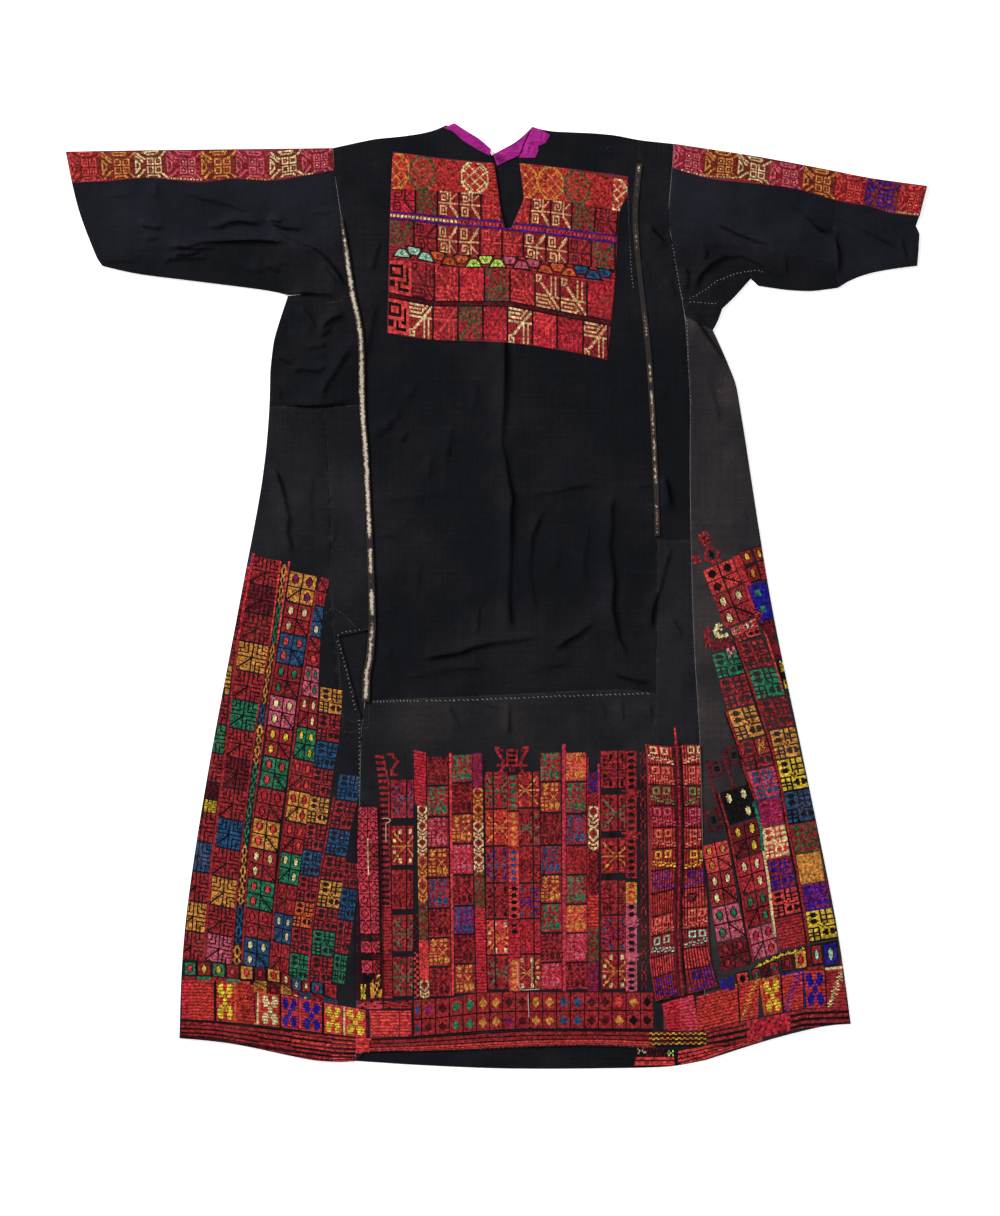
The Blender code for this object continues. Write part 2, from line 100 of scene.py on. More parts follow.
# Every crease of the front, in squares. The body comes first, then the left sleeve and side,
# the right sleeve and side, and the skirt. The back's are in mm.
CREASES = courses("""
    6 2.0 505,330 504.5,379 504,400 502,433 501.5,444 505,458 507,472 510,488 512.5,499 510.5,513 510.5,554
    508.5,586 508.5,603 510,619 511,634; 3 1.0 508.5,347 507.7,379 507,400 505,425; 3 0.8 477,381 476,409;
    4 0.9 452,422 450,442 447,463; 3 0.6 489,429 485,439; 6 0.7 381,499 420,498 447,492 461,491; 6 1.1
    526,496 543,493 556,491 573,487 589,485 600,483; 5 0.8 633,487 655,485; 5 1.1 545,506 538.5,521 532,537
    530,559 530,575 532,589 536,619; 7 1.9 614,491 611,510 612,526 609,545 612,565 614,581 612,608 615,622
    618,638 625,652 631.5,663; 3 1.0 480,600 478,619 477.5,638; 6 1.7 417,659 444,655 461,652 474,646.5
    496,642 518,640 529,637.5 543,637; 6 1.5 551,652 559,646.5 567,640 578,634 589,625 597,618; 8 0.9
    400,679 425,674 455,668 490,667; 7 0.8 523,670 545,667 573,662; 7 1.1 608,666 619,675 638,680 655,683;
    5 0.7 391,644 389.5,660; 6 0.7 384,608 398,614; 5 1.2 508.5,697 508.5,718 508,739; 4 0.8 482,701
    499,709; 5 1.1 447,703 454,718 461,729; 5 1.1 594.5,693 603,707 605.5,723; 5 0.9 620.5,698 623,723; 4
    0.8 649,704 652,718; 6 0.9 400,400 398,417 381,428 370,439; 6 0.8 420,379 406,403; 6 0.8 409,428
    400,444; 5 0.8 395,423 375,438; 6 1.2 383,302 374,312 370,334 366,359; 5 1.1 380,238 373,266 372,273; 5
    0.6 380,533 398,537; 5 0.7 432,455 428,480; 5 0.6 560,540 556,575; 5 0.6 590,520 584,560 586,590; 5 0.6
    420,560 416,600; 4 1.5 182,192 194,195 202,199 219,202 230,205 241,210 253,210; 5 2.2 200,228 219,227
    229,222.6 239,221 253,223 262,222.6 268,221; 4 1.6 268,219 284,222.6; 4 1.8 268,221 282,227.6 296,228.7
    307,229.4; 5 1.8 270,224 278,233 289,240 300,245 314,250 324,258 333,268 341,280 347,293; 5 1.3 321,263
    330,275 339,286; 4 1.2 138,221.5 145,226 155,228 166,227; 5 0.9 144,240 160,237; 5 2.0 163,249
    173,246.4 187,247 200,242.5 219,241.4 241,240.7 264,240.7 290,243; 4 1.2 165,250 180,248 198,249
    219,247.5; 4 1.1 171,254 187,255 205,251; 4 1.4 160,271 164,266 169,259 182,258 200,258 216,255.5; 4
    1.0 232,262 248,270 266,272.5; 4 1.2 264,264.5 280,272.5; 5 1.0 101,262 123,261 142,262; 3 0.8
    308,213.5 332,213; 4 0.6 101,196.5 119,196 137,193; 5 0.7 156,183 157,198; 5 2.0 289,294 309,293
    332,295 342,296; 5 2.2 299,306 309,315 313,324 317.5,331; 5 2.0 317.5,331 322,329 327,322 336,317
    346,313; 4 1.0 320,338 331,327; 5 1.8 276,356 285,360 294,364; 4 0.8 287,334 299,337; 4 0.9 304,348
    321,347 326,339; 4 1.1 287,375 301,369 319,371 331,361; 5 1.9 353,344 343,359 336,371 326,385 322,396
    318,403; 4 1.8 274,383 280,391 280.5,402; 5 1.2 282,403 306,406 336,404 358,401; 5 2.2 269,464 277,474
    281,485 285,502 288.6,519 287,532 290,544 293,559; 4 1.0 330,495 333,502; 4 0.8 346,453 343,468; 4 0.9
    341,529 335,537 331,544 330,556; 7 0.8 312,470 310,500 313,530; 8 1.3 778,199 790,204 800,210 810,218
    818,227 826,231 836,232; 4 1.4 800,212 812,222 820,230 832,233; 5 1.4 836,227 835,241 838,253 838,265
    836,283; 4 1.1 800,203 820,211 840,219 866,231 890,243 904,255; 4 1.6 900,235 903,247 906,263; 4 1.3
    708,221 722,226 738,234 754,240 770,245 778,250; 4 0.8 784,253 786,277; 6 2.2 685,265 687,277 685,293;
    5 1.8 705,247 705.6,255 704,263; 5 1.6 692,295 700,275 710,265 724,257 742,256 754,261 762,265 774,277
    782,285; 6 1.8 648,223 652,231 660,239 668,249; 5 0.9 642,261 652,277; 5 1.0 668,277 676,299; 6 2.2
    688,314 698,325 710,342 719,355 729,367; 4 1.0 690,311 702,321 713,332; 5 0.9 705,374 712,393 717,411
    719,430; 5 0.8 743,505 747,523; 6 2.0 664,474 668,491 671,512; 5 1.6 675,542 670,549 666,563 661,584
    656,598 652,610 650,635; 5 0.7 666,380 665,400; 6 0.9 670,614 677,628 683,640; 5 0.6 374,154 411,148
    439,139; 5 0.6 561,143 589,152 625,156; 7 0.9 196,767 208,832 204,896; 7 0.9 282,739 274,825 278,910; 7
    0.8 431,810 426,867 429,939; 6 0.8 539,803 542,867 539,953; 7 0.9 611,817 606,882 611,953; 7 1.0
    732,639 748,725 762,810 775,896; 6 0.9 796,753 808,832 818,896""")
BACK_CREASES = courses("""
    9 0.45 -20,500 -14,380 6,240 4,90; 7 0.40 110,420 122,300 118,160 130,20; 8 0.45 -120,360 -134,220
    -128,60; 8 0.50 -60,60 -72,-120 -66,-300 -80,-460; 7 0.40 80,-40 92,-200 86,-380; 9 0.50 -470,545
    -380,520 -290,505 -240,470; 7 0.45 -450,480 -350,476 -270,440; 9 0.50 520,520 430,505 340,520 270,560;
    7 0.40 460,450 380,470 300,440; 8 0.45 -290,240 -320,60 -350,-140 -380,-360; 7 0.40 -230,120 -250,-80
    -262,-300 -280,-520; 8 0.45 310,300 340,80 372,-140 400,-380; 7 0.40 270,60 290,-160 310,-400 330,-560;
    6 0.35 -150,-560 -60,-570 40,-560 140,-572; 6 0.35 -170,600 -60,590 80,596 190,586""", False)


def near(x, y, start, end):
    """Distance from a straight run, in mm, how far along it, and on which side: over 0 on its left."""
    run = (end[0] - start[0], end[1] - start[1])
    length = math.hypot(*run)
    along = ((x - start[0]) * run[0] + (y - start[1]) * run[1]) / length
    held = np.clip(along, 0, length)
    off_x, off_y = x - start[0] - held * run[0] / length, y - start[1] - held * run[1] / length
    return np.hypot(off_x, off_y), held, run[0] * off_y - run[1] * off_x


def creased(x, y, creases, shade=False):
    """Height of all creases at the points, each steep on its lower right and fading at its ends.

    Asked for the shade, it gives how deep in the dark line under its steep side a point lies, 0 to 1."""
    total = np.zeros_like(x)
    for count, (half, height, *through) in enumerate(creases):
        best = np.full_like(x, 1e9)
        place, side = np.zeros_like(x), np.zeros_like(x)
        gone = 0.0
        for start, end in zip(through, through[1:]):
            away, held, turn = near(x, y, start, end)
            closer = away < best
            best = np.where(closer, away, best)
            place = np.where(closer, gone + held, place)
            side = np.where(closer, turn, side)
            gone += math.dist(start, end)
        run_x, run_y = through[-1][0] - through[0][0], through[-1][1] - through[0][1]
        steep = (side > 0) == (0.7 * run_x + run_y < 0)
        fade = np.clip(np.minimum(place, gone - place) / min(0.28 * gone, 26), 0, 1)
        fade = fade * fade * (3 - 2 * fade) * (0.78 + 0.22 * np.sin(place / 31 + count * 1.7))
        # Painted shade: the dark line under the steep side, which the finishes paint into the cloth's colour.
        if shade:
            line = np.exp(-(((np.where(steep, best, -best) - 1.6) / (1.1 + half * 0.32)) ** 2))
            total = np.maximum(total, min(1.0, height / 1.5) * fade * line)
        else:
            wide = np.where(steep, half * 0.55, half * 1.9)
            total += 2.5 * height * fade * np.exp(-((best / wide) ** 2))
    return total


# Points beside each crease, where the mesh needs to be finer, in rows that are set off in turn.
ROW_STEP = 4.4  # mm
CREASE_POINTS = []
for _half, _height, *through in CREASES:
    for start, end in zip(through, through[1:]):
        length = math.dist(start, end)
        run = ((end[0] - start[0]) / length, (end[1] - start[1]) / length)
        for count in range(max(1, round(length / ROW_STEP))):
            for off in (-6.0, -3.4, -1.4, 0.4, 2.6, 5.2):
                gone = (count + 0.5 * (off in (-3.4, 0.4, 5.2))) * ROW_STEP
                CREASE_POINTS.append((start[0] + run[0] * gone - run[1] * off,
                                      start[1] + run[1] * gone + run[0] * off))


WAVES = 56


def crumpled(x, y, seed, finest, broadest, height):
    """Slight unevenness of pressed and worn cloth, from many faint waves in all directions."""
    chance = np.random.default_rng(seed)
    total = np.zeros_like(x)
    for _ in range(WAVES):
        turn, length = chance.uniform(0, math.pi), chance.uniform(finest, broadest)
        start = chance.uniform(0, 7)
        total += np.sin((x * math.cos(turn) + y * math.sin(turn)) * math.tau / length + start)
    return total * height / math.sqrt(WAVES / 2)


# The broad lie of the front comes from the solids below it: their height on a raster, softened.
RASTER = 8.0
lattice_corners, lattice_faces, lattice_level = [], [], []
for solid in solids.values():
    level = round(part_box(solid.name)[0].z / (STEP * MM))
    if level == 0:
        continue
    first = len(lattice_corners)
    lattice_corners += [v.co.copy() for v in solid.data.vertices]
    for face in solid.data.polygons:
        lattice_faces.append([first + corner for corner in face.vertices])
        lattice_level.append(level)
lattice = BVHTree.FromPolygons(lattice_corners, lattice_faces)
raster_x = np.arange(cad_low.x / MM - 16, cad_high.x / MM + 16, RASTER)
raster_y = np.arange(cad_low.y / MM - 16, cad_high.y / MM + 16, RASTER)
raster = np.zeros((len(raster_y), len(raster_x)))
covered = np.zeros_like(raster)
for row, y in enumerate(raster_y):
    for column, x in enumerate(raster_x):
        hit, _normal, index, _away = lattice.ray_cast((x * MM, y * MM, 0.05), (0, 0, -1))
        if hit is not None:
            raster[row, column] = hit.z / MM - STEP * lattice_level[index] - WALL
            covered[row, column] = 1
spread = np.exp(-(np.arange(-3, 4) * RASTER / 12.0) ** 2)
for axis in (0, 1):
    raster = np.apply_along_axis(np.convolve, axis, raster, spread, "same")
    covered = np.apply_along_axis(np.convolve, axis, covered, spread, "same")
raster = np.where(covered > 0, raster / np.maximum(covered, 1e-9), 0)

# Where the cloth hangs limp and lies in many small wrinkles: the place and the spread, in squares.
LIMP_SPOTS = [(*on_table(right, down), spread * SQUARE) for right, down, spread in path("""
    205,255,34 270,262,34 315,345,40 655,285,36 700,275,26 655,225,24 372,420,26 668,560,26 380,250,24""")]


def front_rise(x, y):
    """Height of the front over its lowest place, in mm: broad lie, creases and crumple."""
    across = np.clip((x - raster_x[0]) / RASTER, 0, len(raster_x) - 1.001)
    up = np.clip((y - raster_y[0]) / RASTER, 0, len(raster_y) - 1.001)
    i, j = across.astype(int), up.astype(int)
    u, v = across - i, up - j
    low = raster[j, i] * (1 - u) + raster[j, i + 1] * u
    high = raster[j + 1, i] * (1 - u) + raster[j + 1, i + 1] * u
    broad = low * (1 - v) + high * v
    inner = np.clip(broad / 0.8, 0.15, 1)
    limp = np.clip(sum(np.exp(-(((x - spot_x) ** 2 + (y - spot_y) ** 2) / spread ** 2))
                       for spot_x, spot_y, spread in LIMP_SPOTS), 0, 1)
    detail = creased(x, y, CREASES) + crumpled(x, y, 5, 34, 110, 0.26)
    detail = detail + limp * crumpled(x, y, 6, 13, 34, 0.2)
    return np.maximum(broad + inner * detail, -0.2)


def back_rise(x, y):
    """Height of the back over the table, in mm. It never reaches the front above it."""
    own = creased(x, y, BACK_CREASES) + np.abs(crumpled(x, y, 9, 60, 160, 0.12))
    return np.clip(own, 0, 0.35 + np.maximum(front_rise(x, y), 0))


# Where the dye has faded most: the place and the spread in squares, and how much.
FADED_SPOTS = [(*on_table(right, down), spread * SQUARE, deep) for right, down, spread, deep in path("""
    722,495,40,0.4 712,375,30,-0.3 500,725,70,0.2 702,640,26,0.5 706,712,24,0.4 440,714,26,0.5
    404,724,24,0.4 620,712,22,0.35 345,500,20,0.3 300,470,26,0.2 762,252,14,0.7 800,275,24,0.4
    120,225,30,0.2""")]


def rings_of(name):
    """The outline of a solid's upper side, in mm: closed rings of points, with the longest first."""
    mesh = solids[name].data
    mesh.calc_loop_triangles()
    places = np.empty(len(mesh.vertices) * 3)
    mesh.vertices.foreach_get("co", places)
    corners = np.empty(len(mesh.loop_triangles) * 3, np.int32)
    mesh.loop_triangles.foreach_get("vertices", corners)
    places, merged = np.unique(np.round(places.reshape(-1, 3) / MM, 3), axis=0, return_inverse=True)
    triangles = merged.reshape(-1)[corners].reshape(-1, 3)
    a, b, c = (places[triangles[:, k]] for k in range(3))
    facing = np.cross(b - a, c - a)
    upper = triangles[facing[:, 2] > 0.3 * np.linalg.norm(facing, axis=1)]
    edges = {(int(t[k]), int(t[(k + 1) % 3])) for t in upper for k in range(3)}
    following = {start: end for start, end in edges if (end, start) not in edges}
    rings = []
    while following:
        start, here = following.popitem()
        ring = [places[start][:2]]
        while here in following:
            ring.append(places[here][:2])
            here = following.pop(here)
        rings.append(np.array(ring))
    return sorted(rings, key=len, reverse=True)


def evened(ring, spacing):
    """A ring with its points spaced evenly between its corners and its facets rounded off."""
    before, after = ring - np.roll(ring, 1, 0), np.roll(ring, -1, 0) - ring
    turn = np.arctan2(before[:, 0] * after[:, 1] - before[:, 1] * after[:, 0], (before * after).sum(1))
    sharp = [k for k in range(len(ring)) if abs(turn[k]) > math.radians(26)] or [0]
    points = []
    for first, last in zip(sharp, sharp[1:] + [sharp[0] + len(ring)]):
        run = ring[np.arange(first, last + 1) % len(ring)]
        gone = np.concatenate([[0], np.cumsum(np.linalg.norm(np.diff(run, axis=0), axis=1))])
        count = max(1, round(gone[-1] / spacing))
        at = np.linspace(0, gone[-1], count + 1)
        run = np.stack([np.interp(at, gone, run[:, 0]), np.interp(at, gone, run[:, 1])], 1)
        for _ in range(6):
            run[1:-1] = 0.5 * run[1:-1] + 0.25 * (run[:-2] + run[2:])
        points.append(run[:-1])
    return np.concatenate(points)


REACH = 30  # mm, as far from an edge as its distance matters
EDGE_ROLLED, EDGE_WORN = 5.0, 14  # mm, as far from an edge as it is rolled and worn


def from_outline(x, y, rings):
    """Distance of each point from the nearest edge of its piece, in mm."""
    best = np.full(len(x), 1e9)
    for ring in rings:
        for start, end in zip(ring, np.roll(ring, -1, 0)):
            close = (np.abs(x - start[0]) < REACH) & (np.abs(y - start[1]) < REACH)
            if close.any() and math.dist(start, end) > 1e-6:
                best[close] = np.minimum(best[close], near(x[close], y[close], start, end)[0])
    return best


def within(x, y, rings):
    """Whether each point lies inside the outer ring and outside any others, by the edges to its right."""
    crossings = np.zeros(len(x), int)
    for ring in rings:
        for (ax, ay), (bx, by) in zip(ring, np.roll(ring, -1, 0)):
            if ay != by:
                crossings += ((ay > y) != (by > y)) & (x < ax + (bx - ax) * (y - ay) / (by - ay))
    return crossings % 2 == 1


def mesh_object(name, points, faces, material, smooth=True):
    """A piece at the origin from points in mm."""
    mesh = bpy.data.meshes.new(name)
    mesh.from_pydata((np.asarray(points) * MM).tolist(), [], faces)
    mesh.polygons.foreach_set("use_smooth", [smooth] * len(mesh.polygons))
    mesh.materials.append(material)
    made = bpy.data.objects.new(name, mesh)
    bpy.context.scene.collection.objects.link(made)
    PIECES[name] = made
    return made


def pieces(names):
    """The pieces with these names; a cloth's is its solid's."""
    return [PIECES[name] for name in names.split()]


def store(made, name, values):
    """Keeps a number for each corner of a piece, for its finish."""
    made.data.attributes.new(name, "FLOAT", "POINT").data.foreach_set("value", values.astype(np.float32))


def flat_map(made):
    """Lays the upper side out flat for the finish, with the lower side beside it at the same scale."""
    mesh = made.data
    places = np.empty(len(mesh.vertices) * 3)
    mesh.vertices.foreach_get("co", places)
    places = places.reshape(-1, 3)[:, :2]
    low, size = places.min(0), np.ptp(places, axis=0)
    corner = np.empty(len(mesh.loops), np.int32)
    mesh.loops.foreach_get("vertex_index", corner)
    facing = np.array([face.normal.z for face in mesh.polygons])
    under = np.repeat(facing < -0.3, [len(face.vertices) for face in mesh.polygons])
    beside = 0 if size[0] < size[1] else 1
    across = size.copy()
    across[beside] *= 2.04 if under.any() else 1
    spots = (places[corner] - low) + np.outer(under, [1 - beside, beside]) * size * 1.04
    spots = spots / across.max() * 0.99 + 0.005
    mesh.uv_layers.new(name="OFBake").uv.foreach_set("vector", spots.astype(np.float32).ravel())


TRIANGLE = 0.866  # its height, with sides of 1


def cloth(name, node, material, rise, spacing=4.6, roll=0.5, thick=THICK, kept_down=0.0):
    """One cut piece of cloth over its solid: a fine mesh inside its outline, its edges rolled under."""
    level = round(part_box(node)[0].z / (STEP * MM))
    rings = [evened(ring, spacing * 0.9) for ring in rings_of(node)]
    outer = rings[0]
    low, high = outer.min(0), outer.max(0)
    rows = np.arange(low[1], high[1], spacing * TRIANGLE)
    columns = np.arange(low[0] - spacing, high[0] + spacing, spacing)
    x = np.concatenate([columns + (k % 2) * spacing / 2 for k in range(len(rows))])
    y = np.repeat(rows, len(columns))
    keep = within(x, y, rings)
    x, y = x[keep], y[keep]
    if rise is front_rise:
        ridge_x, ridge_y = np.array(CREASE_POINTS).T
        close = within(ridge_x, ridge_y, rings)
        ridge_x, ridge_y = ridge_x[close], ridge_y[close]
        tree = KDTree(len(ridge_x))
        for count, spot in enumerate(zip(ridge_x, ridge_y)):
            tree.insert((*spot, 0), count)
        tree.balance()
        clear = [(tree.find((*spot, 0))[2] or 99) > 2.6 for spot in zip(x, y)]
        x, y = np.append(x[clear], ridge_x), np.append(y[clear], ridge_y)
    keep = from_outline(x, y, rings) > spacing * 0.8
    x, y = x[keep], y[keep]
    edge_x, edge_y = [], []
    for ring in rings:
        along = np.roll(ring, -1, 0) - np.roll(ring, 1, 0)
        inwards = np.stack([-along[:, 1], along[:, 0]], 1) / np.linalg.norm(along, axis=1)[:, None]
        middle = ring + inwards * spacing * 0.42
        edge_x += middle[:, 0].tolist()
        edge_y += middle[:, 1].tolist()
    edge_x, edge_y = np.array(edge_x), np.array(edge_y)
    keep = within(edge_x, edge_y, rings) & (from_outline(edge_x, edge_y, rings) > spacing * 0.3)
    points = [tuple(p) for ring in rings for p in ring]
    links, first = [], 0
    for ring in rings:
        links += [(first + k, first + (k + 1) % len(ring)) for k in range(len(ring))]
        first += len(ring)
    points += list(zip(x, y)) + list(zip(edge_x[keep], edge_y[keep]))
    found, _edges, faces, *_ = delaunay_2d_cdt([Vector(p) for p in points], links, [], 2, 1e-4)
    at = np.array([tuple(p) for p in found])
    used = np.unique(np.concatenate([list(f) for f in faces]))
    fresh = np.full(len(at), -1)
    fresh[used] = np.arange(len(used))
    at = at[used]
    faces = [[int(fresh[k]) for k in f] for f in faces]
    edge = from_outline(at[:, 0], at[:, 1], rings)
    rolled = roll * np.clip(1 - edge / EDGE_ROLLED, 0, 1) ** 2
    top = level * STEP + thick + rise(at[:, 0], at[:, 1]) - rolled - kept_down
    edges = {(f[k], f[(k + 1) % len(f)]) for f in faces for k in range(len(f))}
    rim = [(a, b) for a, b in edges if (b, a) not in edges]
    under = len(at)
    bottom = np.maximum(top - thick, 0.02 if level == 0 else 0.3)
    places = np.concatenate([np.c_[at, top], np.c_[at, bottom]])
    shell = faces + [[under + k for k in f[::-1]] for f in faces]
    shell += [[b, a, under + a, under + b] for a, b in rim]
    made = mesh_object(name, places, shell, material)
    PIECES[node] = made
    creases = BACK_CREASES if rise is back_rise else CREASES
    sun = sum(deep * np.exp(-(((at[:, 0] - spot_x) ** 2 + (at[:, 1] - spot_y) ** 2) / spread ** 2))
              for spot_x, spot_y, spread, deep in FADED_SPOTS)
    store(made, "edge", np.tile(np.clip(1 - edge / EDGE_WORN, 0, 1), 2))
    # Painted shade: how deep each corner lies in the dark line under a crease, kept for the finishes.
    store(made, "fold", np.tile(creased(*at.T, creases, True), 2))
    store(made, "sun", np.tile(sun, 2))
    bpy.context.view_layer.objects.active = made
    made.select_set(True)
    bpy.ops.object.shade_smooth_by_angle(angle=math.radians(55))
    made.select_set(False)
    flat_map(made)
    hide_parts(node)
    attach(made, "root")
    return made


def dye(*channels):
    """A colour given by three numbers from 0 to 255, as it lies in matt thread."""
    linear = [c / 255 / 12.92 if c < 11 else ((c / 255 + 0.055) / 1.055) ** 2.4 for c in channels]
    return (*[0.68 * c for c in linear], 1.0)


def finish(name, roughness, specular):
    """A new material, a maker of linked nodes for it, and a way to set or join what its shader takes."""
    material = bpy.data.materials.new(name)
    material.use_nodes = True
    tree = material.node_tree

    def fill(node, socket, value):
        if isinstance(value, bpy.types.NodeSocket):
            tree.links.new(value, node.inputs[socket])
        else:
            node.inputs[socket].default_value = value

    def add(kind, inputs=(), **settings):
        made = tree.nodes.new(kind)
        for setting, value in settings.items():
            setattr(made, setting, value)
        for socket, value in dict(inputs).items():
            fill(made, socket, value)
        return made.outputs

    def join(socket, value):
        fill(tree.nodes["Principled BSDF"], socket, value)

    join("Roughness", roughness)
    join("Specular IOR Level", specular)
    return material, add, join


def blended(add, factor, first, second, how="MIX"):
    """Two colours mixed by a factor."""
    sockets = {0: factor, 6: first, 7: second}
    return add("ShaderNodeMix", sockets, data_type="RGBA", blend_type=how)[2]


def reckoned(add, how, *values):
    """A sum, product or other working of numbers."""
    return add("ShaderNodeMath", dict(enumerate(values)), operation=how)[0]


def stored(add, name):
    """A number that a piece keeps at each of its corners."""
    return add("ShaderNodeAttribute", attribute_name=name)[2]


def raised_by(add, strength, depth, height, **more):
    """A surface that height lifts or dents."""
    return add("ShaderNodeBump", {0: strength, 1: depth, "Height": height, **more})[0]


def ranged(add, value, low, high, to_low=0.0, to_high=1.0):
    """A value spread softly from one range to another."""
    sockets = {0: value, 1: low, 2: high, 3: to_low, 4: to_high}
    return add("ShaderNodeMapRange", sockets, interpolation_type="SMOOTHSTEP")[0]


def mottle(add, place, scale, stretched=(1, 1, 1), detail=3.0, rough=0.55):
    """Noise over the piece's own place, stretched along a thread if asked."""
    moved = add("ShaderNodeMapping", {0: place, 3: stretched})[0]
    return add("ShaderNodeTexNoise", {0: moved, 2: scale, 3: detail, 4: rough})[0]


def cotton(name, deep, faded, fading=(0.42, 0.66), streaks=0.16, worn=0.2):
    """Hand-loomed cotton: slubby threads both ways, dye faded in patches and streaks, edges worn paler."""
    material, add, join = finish(name, 0.72, 0.02)
    place = add("ShaderNodeTexCoord")[3]
    patches = ranged(add, mottle(add, place, 5.5, detail=6.0, rough=0.6), *fading)
    patches = reckoned(add, "ADD", patches, stored(add, "sun"))
    colour = blended(add, patches, deep, faded)
    warp = mottle(add, place, 1.0, (340, 9, 1), 2.0)
    weft = mottle(add, place, 1.0, (8, 260, 1), 2.0)
    streak = ranged(add, reckoned(add, "ADD", warp, weft), 0.72, 1.28, 1 - streaks * 0.7, 1 + streaks * 0.7)
    colour = blended(add, 1.0, colour, streak, "MULTIPLY")
    thread_up = mottle(add, place, 1.0, (1900, 130, 1), 1.0)
    thread_across = mottle(add, place, 1.0, (130, 1700, 1), 1.0)
    threads = reckoned(add, "MAXIMUM", thread_up, thread_across)
    colour = blended(add, 1.0, colour, ranged(add, threads, 0.38, 0.72, 0.8, 1.22), "MULTIPLY")
    rubbed = reckoned(add, "MULTIPLY", stored(add, "edge"), mottle(add, place, 95.0, detail=4.0, rough=0.7))
    colour = blended(add, ranged(add, rubbed, 0.42, 0.66, 0.0, worn), colour, dye(96, 88, 84))
    # Painted shade: the colour darkens almost to black along the dark line under each crease's steep side.
    colour = blended(add, ranged(add, stored(add, "fold"), 0.1, 1.0, 0.0, 0.85), colour, dye(4, 4, 6))
    lint = ranged(add, mottle(add, place, 620.0, detail=1.0), 0.775, 0.82, 0.0, 0.3)
    join("Base Color", blended(add, lint, colour, dye(118, 112, 106)))
    join("Roughness", ranged(add, patches, 0, 1, 0.64, 0.78))
    puckers = raised_by(add, 0.42, 0.0016, mottle(add, place, 58.0, detail=4.0, rough=0.6))
    join("Normal", raised_by(add, 0.5, 0.00022, threads, Normal=puckers))
    return material


black_cotton = cotton("black_cotton", dye(20, 21, 26), dye(29, 29, 34), worn=0.07)
side_cotton = cotton("side_cotton", dye(26, 26, 31), dye(37, 36, 41), streaks=0.14)
faded_cotton = cotton("faded_cotton", dye(41, 39, 43), dye(60, 54, 54))
navy_cotton = cotton("navy_cotton", dye(25, 26, 33), dye(33, 33, 41), streaks=0.1, worn=0.07)
for node, material in (("back_centre", black_cotton), ("back_gore_left", side_cotton),
                       ("back_gore_right", faded_cotton), ("back_sleeve_left", navy_cotton),
                       ("back_sleeve_right", navy_cotton)):
    cloth("cotton_" + node, node, material, back_rise, 9.0, 0.35)

# ---------------------------------------------------------------- The front of the body
# Two centre panels of black cotton joined across below the knee, a narrow strip beside each,
# and a wide gore on either side. All are cut along the thread and oversewn by hand from
# behind, so each seam shows as a fine valley between two rolled edges.

brown_cotton = cotton("brown_cotton", dye(28, 28, 33), dye(48, 45, 45), (0.44, 0.72), 0.14)
for node, material in (("front_centre", black_cotton), ("front_lower", brown_cotton),
                       ("shoulder_strip_right", black_cotton), ("side_strip_right", side_cotton),
                       ("gore_right", faded_cotton), ("underarm_left", black_cotton),
                       ("side_strip_left", side_cotton), ("gore_left", side_cotton)):
    cloth("cotton_" + node, node, material, front_rise)

# ---------------------------------------------------------------- The sleeves
# Straight wide sleeves of a smoother, bluer cotton, pieced along the underarm with scraps of
# the older black cotton. The right one has a cuff piece, a patch at its cuff and a gusset
# under the arm.

for node, material, spacing in (("sleeve_left", navy_cotton, 4.6), ("sleeve_under_left", black_cotton, 4.6),
                                ("sleeve_right", navy_cotton, 4.6), ("sleeve_cuff_right", navy_cotton, 4.6),
                                ("sleeve_under_right", black_cotton, 4.6),
                                ("gusset_right", black_cotton, 4.0)):
    cloth("cotton_" + node, node, material, front_rise, spacing)
cloth("cotton_cuff_patch_right", "cuff_patch_right", navy_cotton, front_rise, 4.0, kept_down=0.5)

# ---------------------------------------------------------------- Cross-stitch on the left gore
# The side panels are covered in counted cross-stitch, two crossed floss stitches over each
# crossing of threads, about 2 mm wide. Columns of square motifs lean with the gore, with a
# chain of small links between them and thin red lines. Bare cotton shows where no stitch is.

THREADS = {
    "red": (150, 38, 43), "brick": (136, 33, 37), "crimson": (180, 38, 52), "coral": (206, 62, 60),
    "madder": (180, 50, 44), "maroon": (78, 19, 27), "wine": (102, 23, 32), "gold": (196, 130, 56),
    "orange": (204, 86, 42), "green": (38, 112, 80), "moss": (54, 82, 50), "teal": (34, 98, 110),
    "blue": (34, 74, 112), "royal": (30, 24, 132), "pink": (190, 84, 104), "rose": (188, 54, 70),
    "cream": (212, 194, 138), "yellow": (214, 178, 52), "purple": (120, 27, 84), "black": (17, 15, 18),
    "white": (214, 202, 180), "aqua": (150, 196, 170), "lime": (182, 212, 92), "rust": (182, 80, 38),
    "clay": (116, 38, 34), "leaf": (92, 140, 80), "peach": (216, 112, 84), "straw": (206, 164, 114),
}


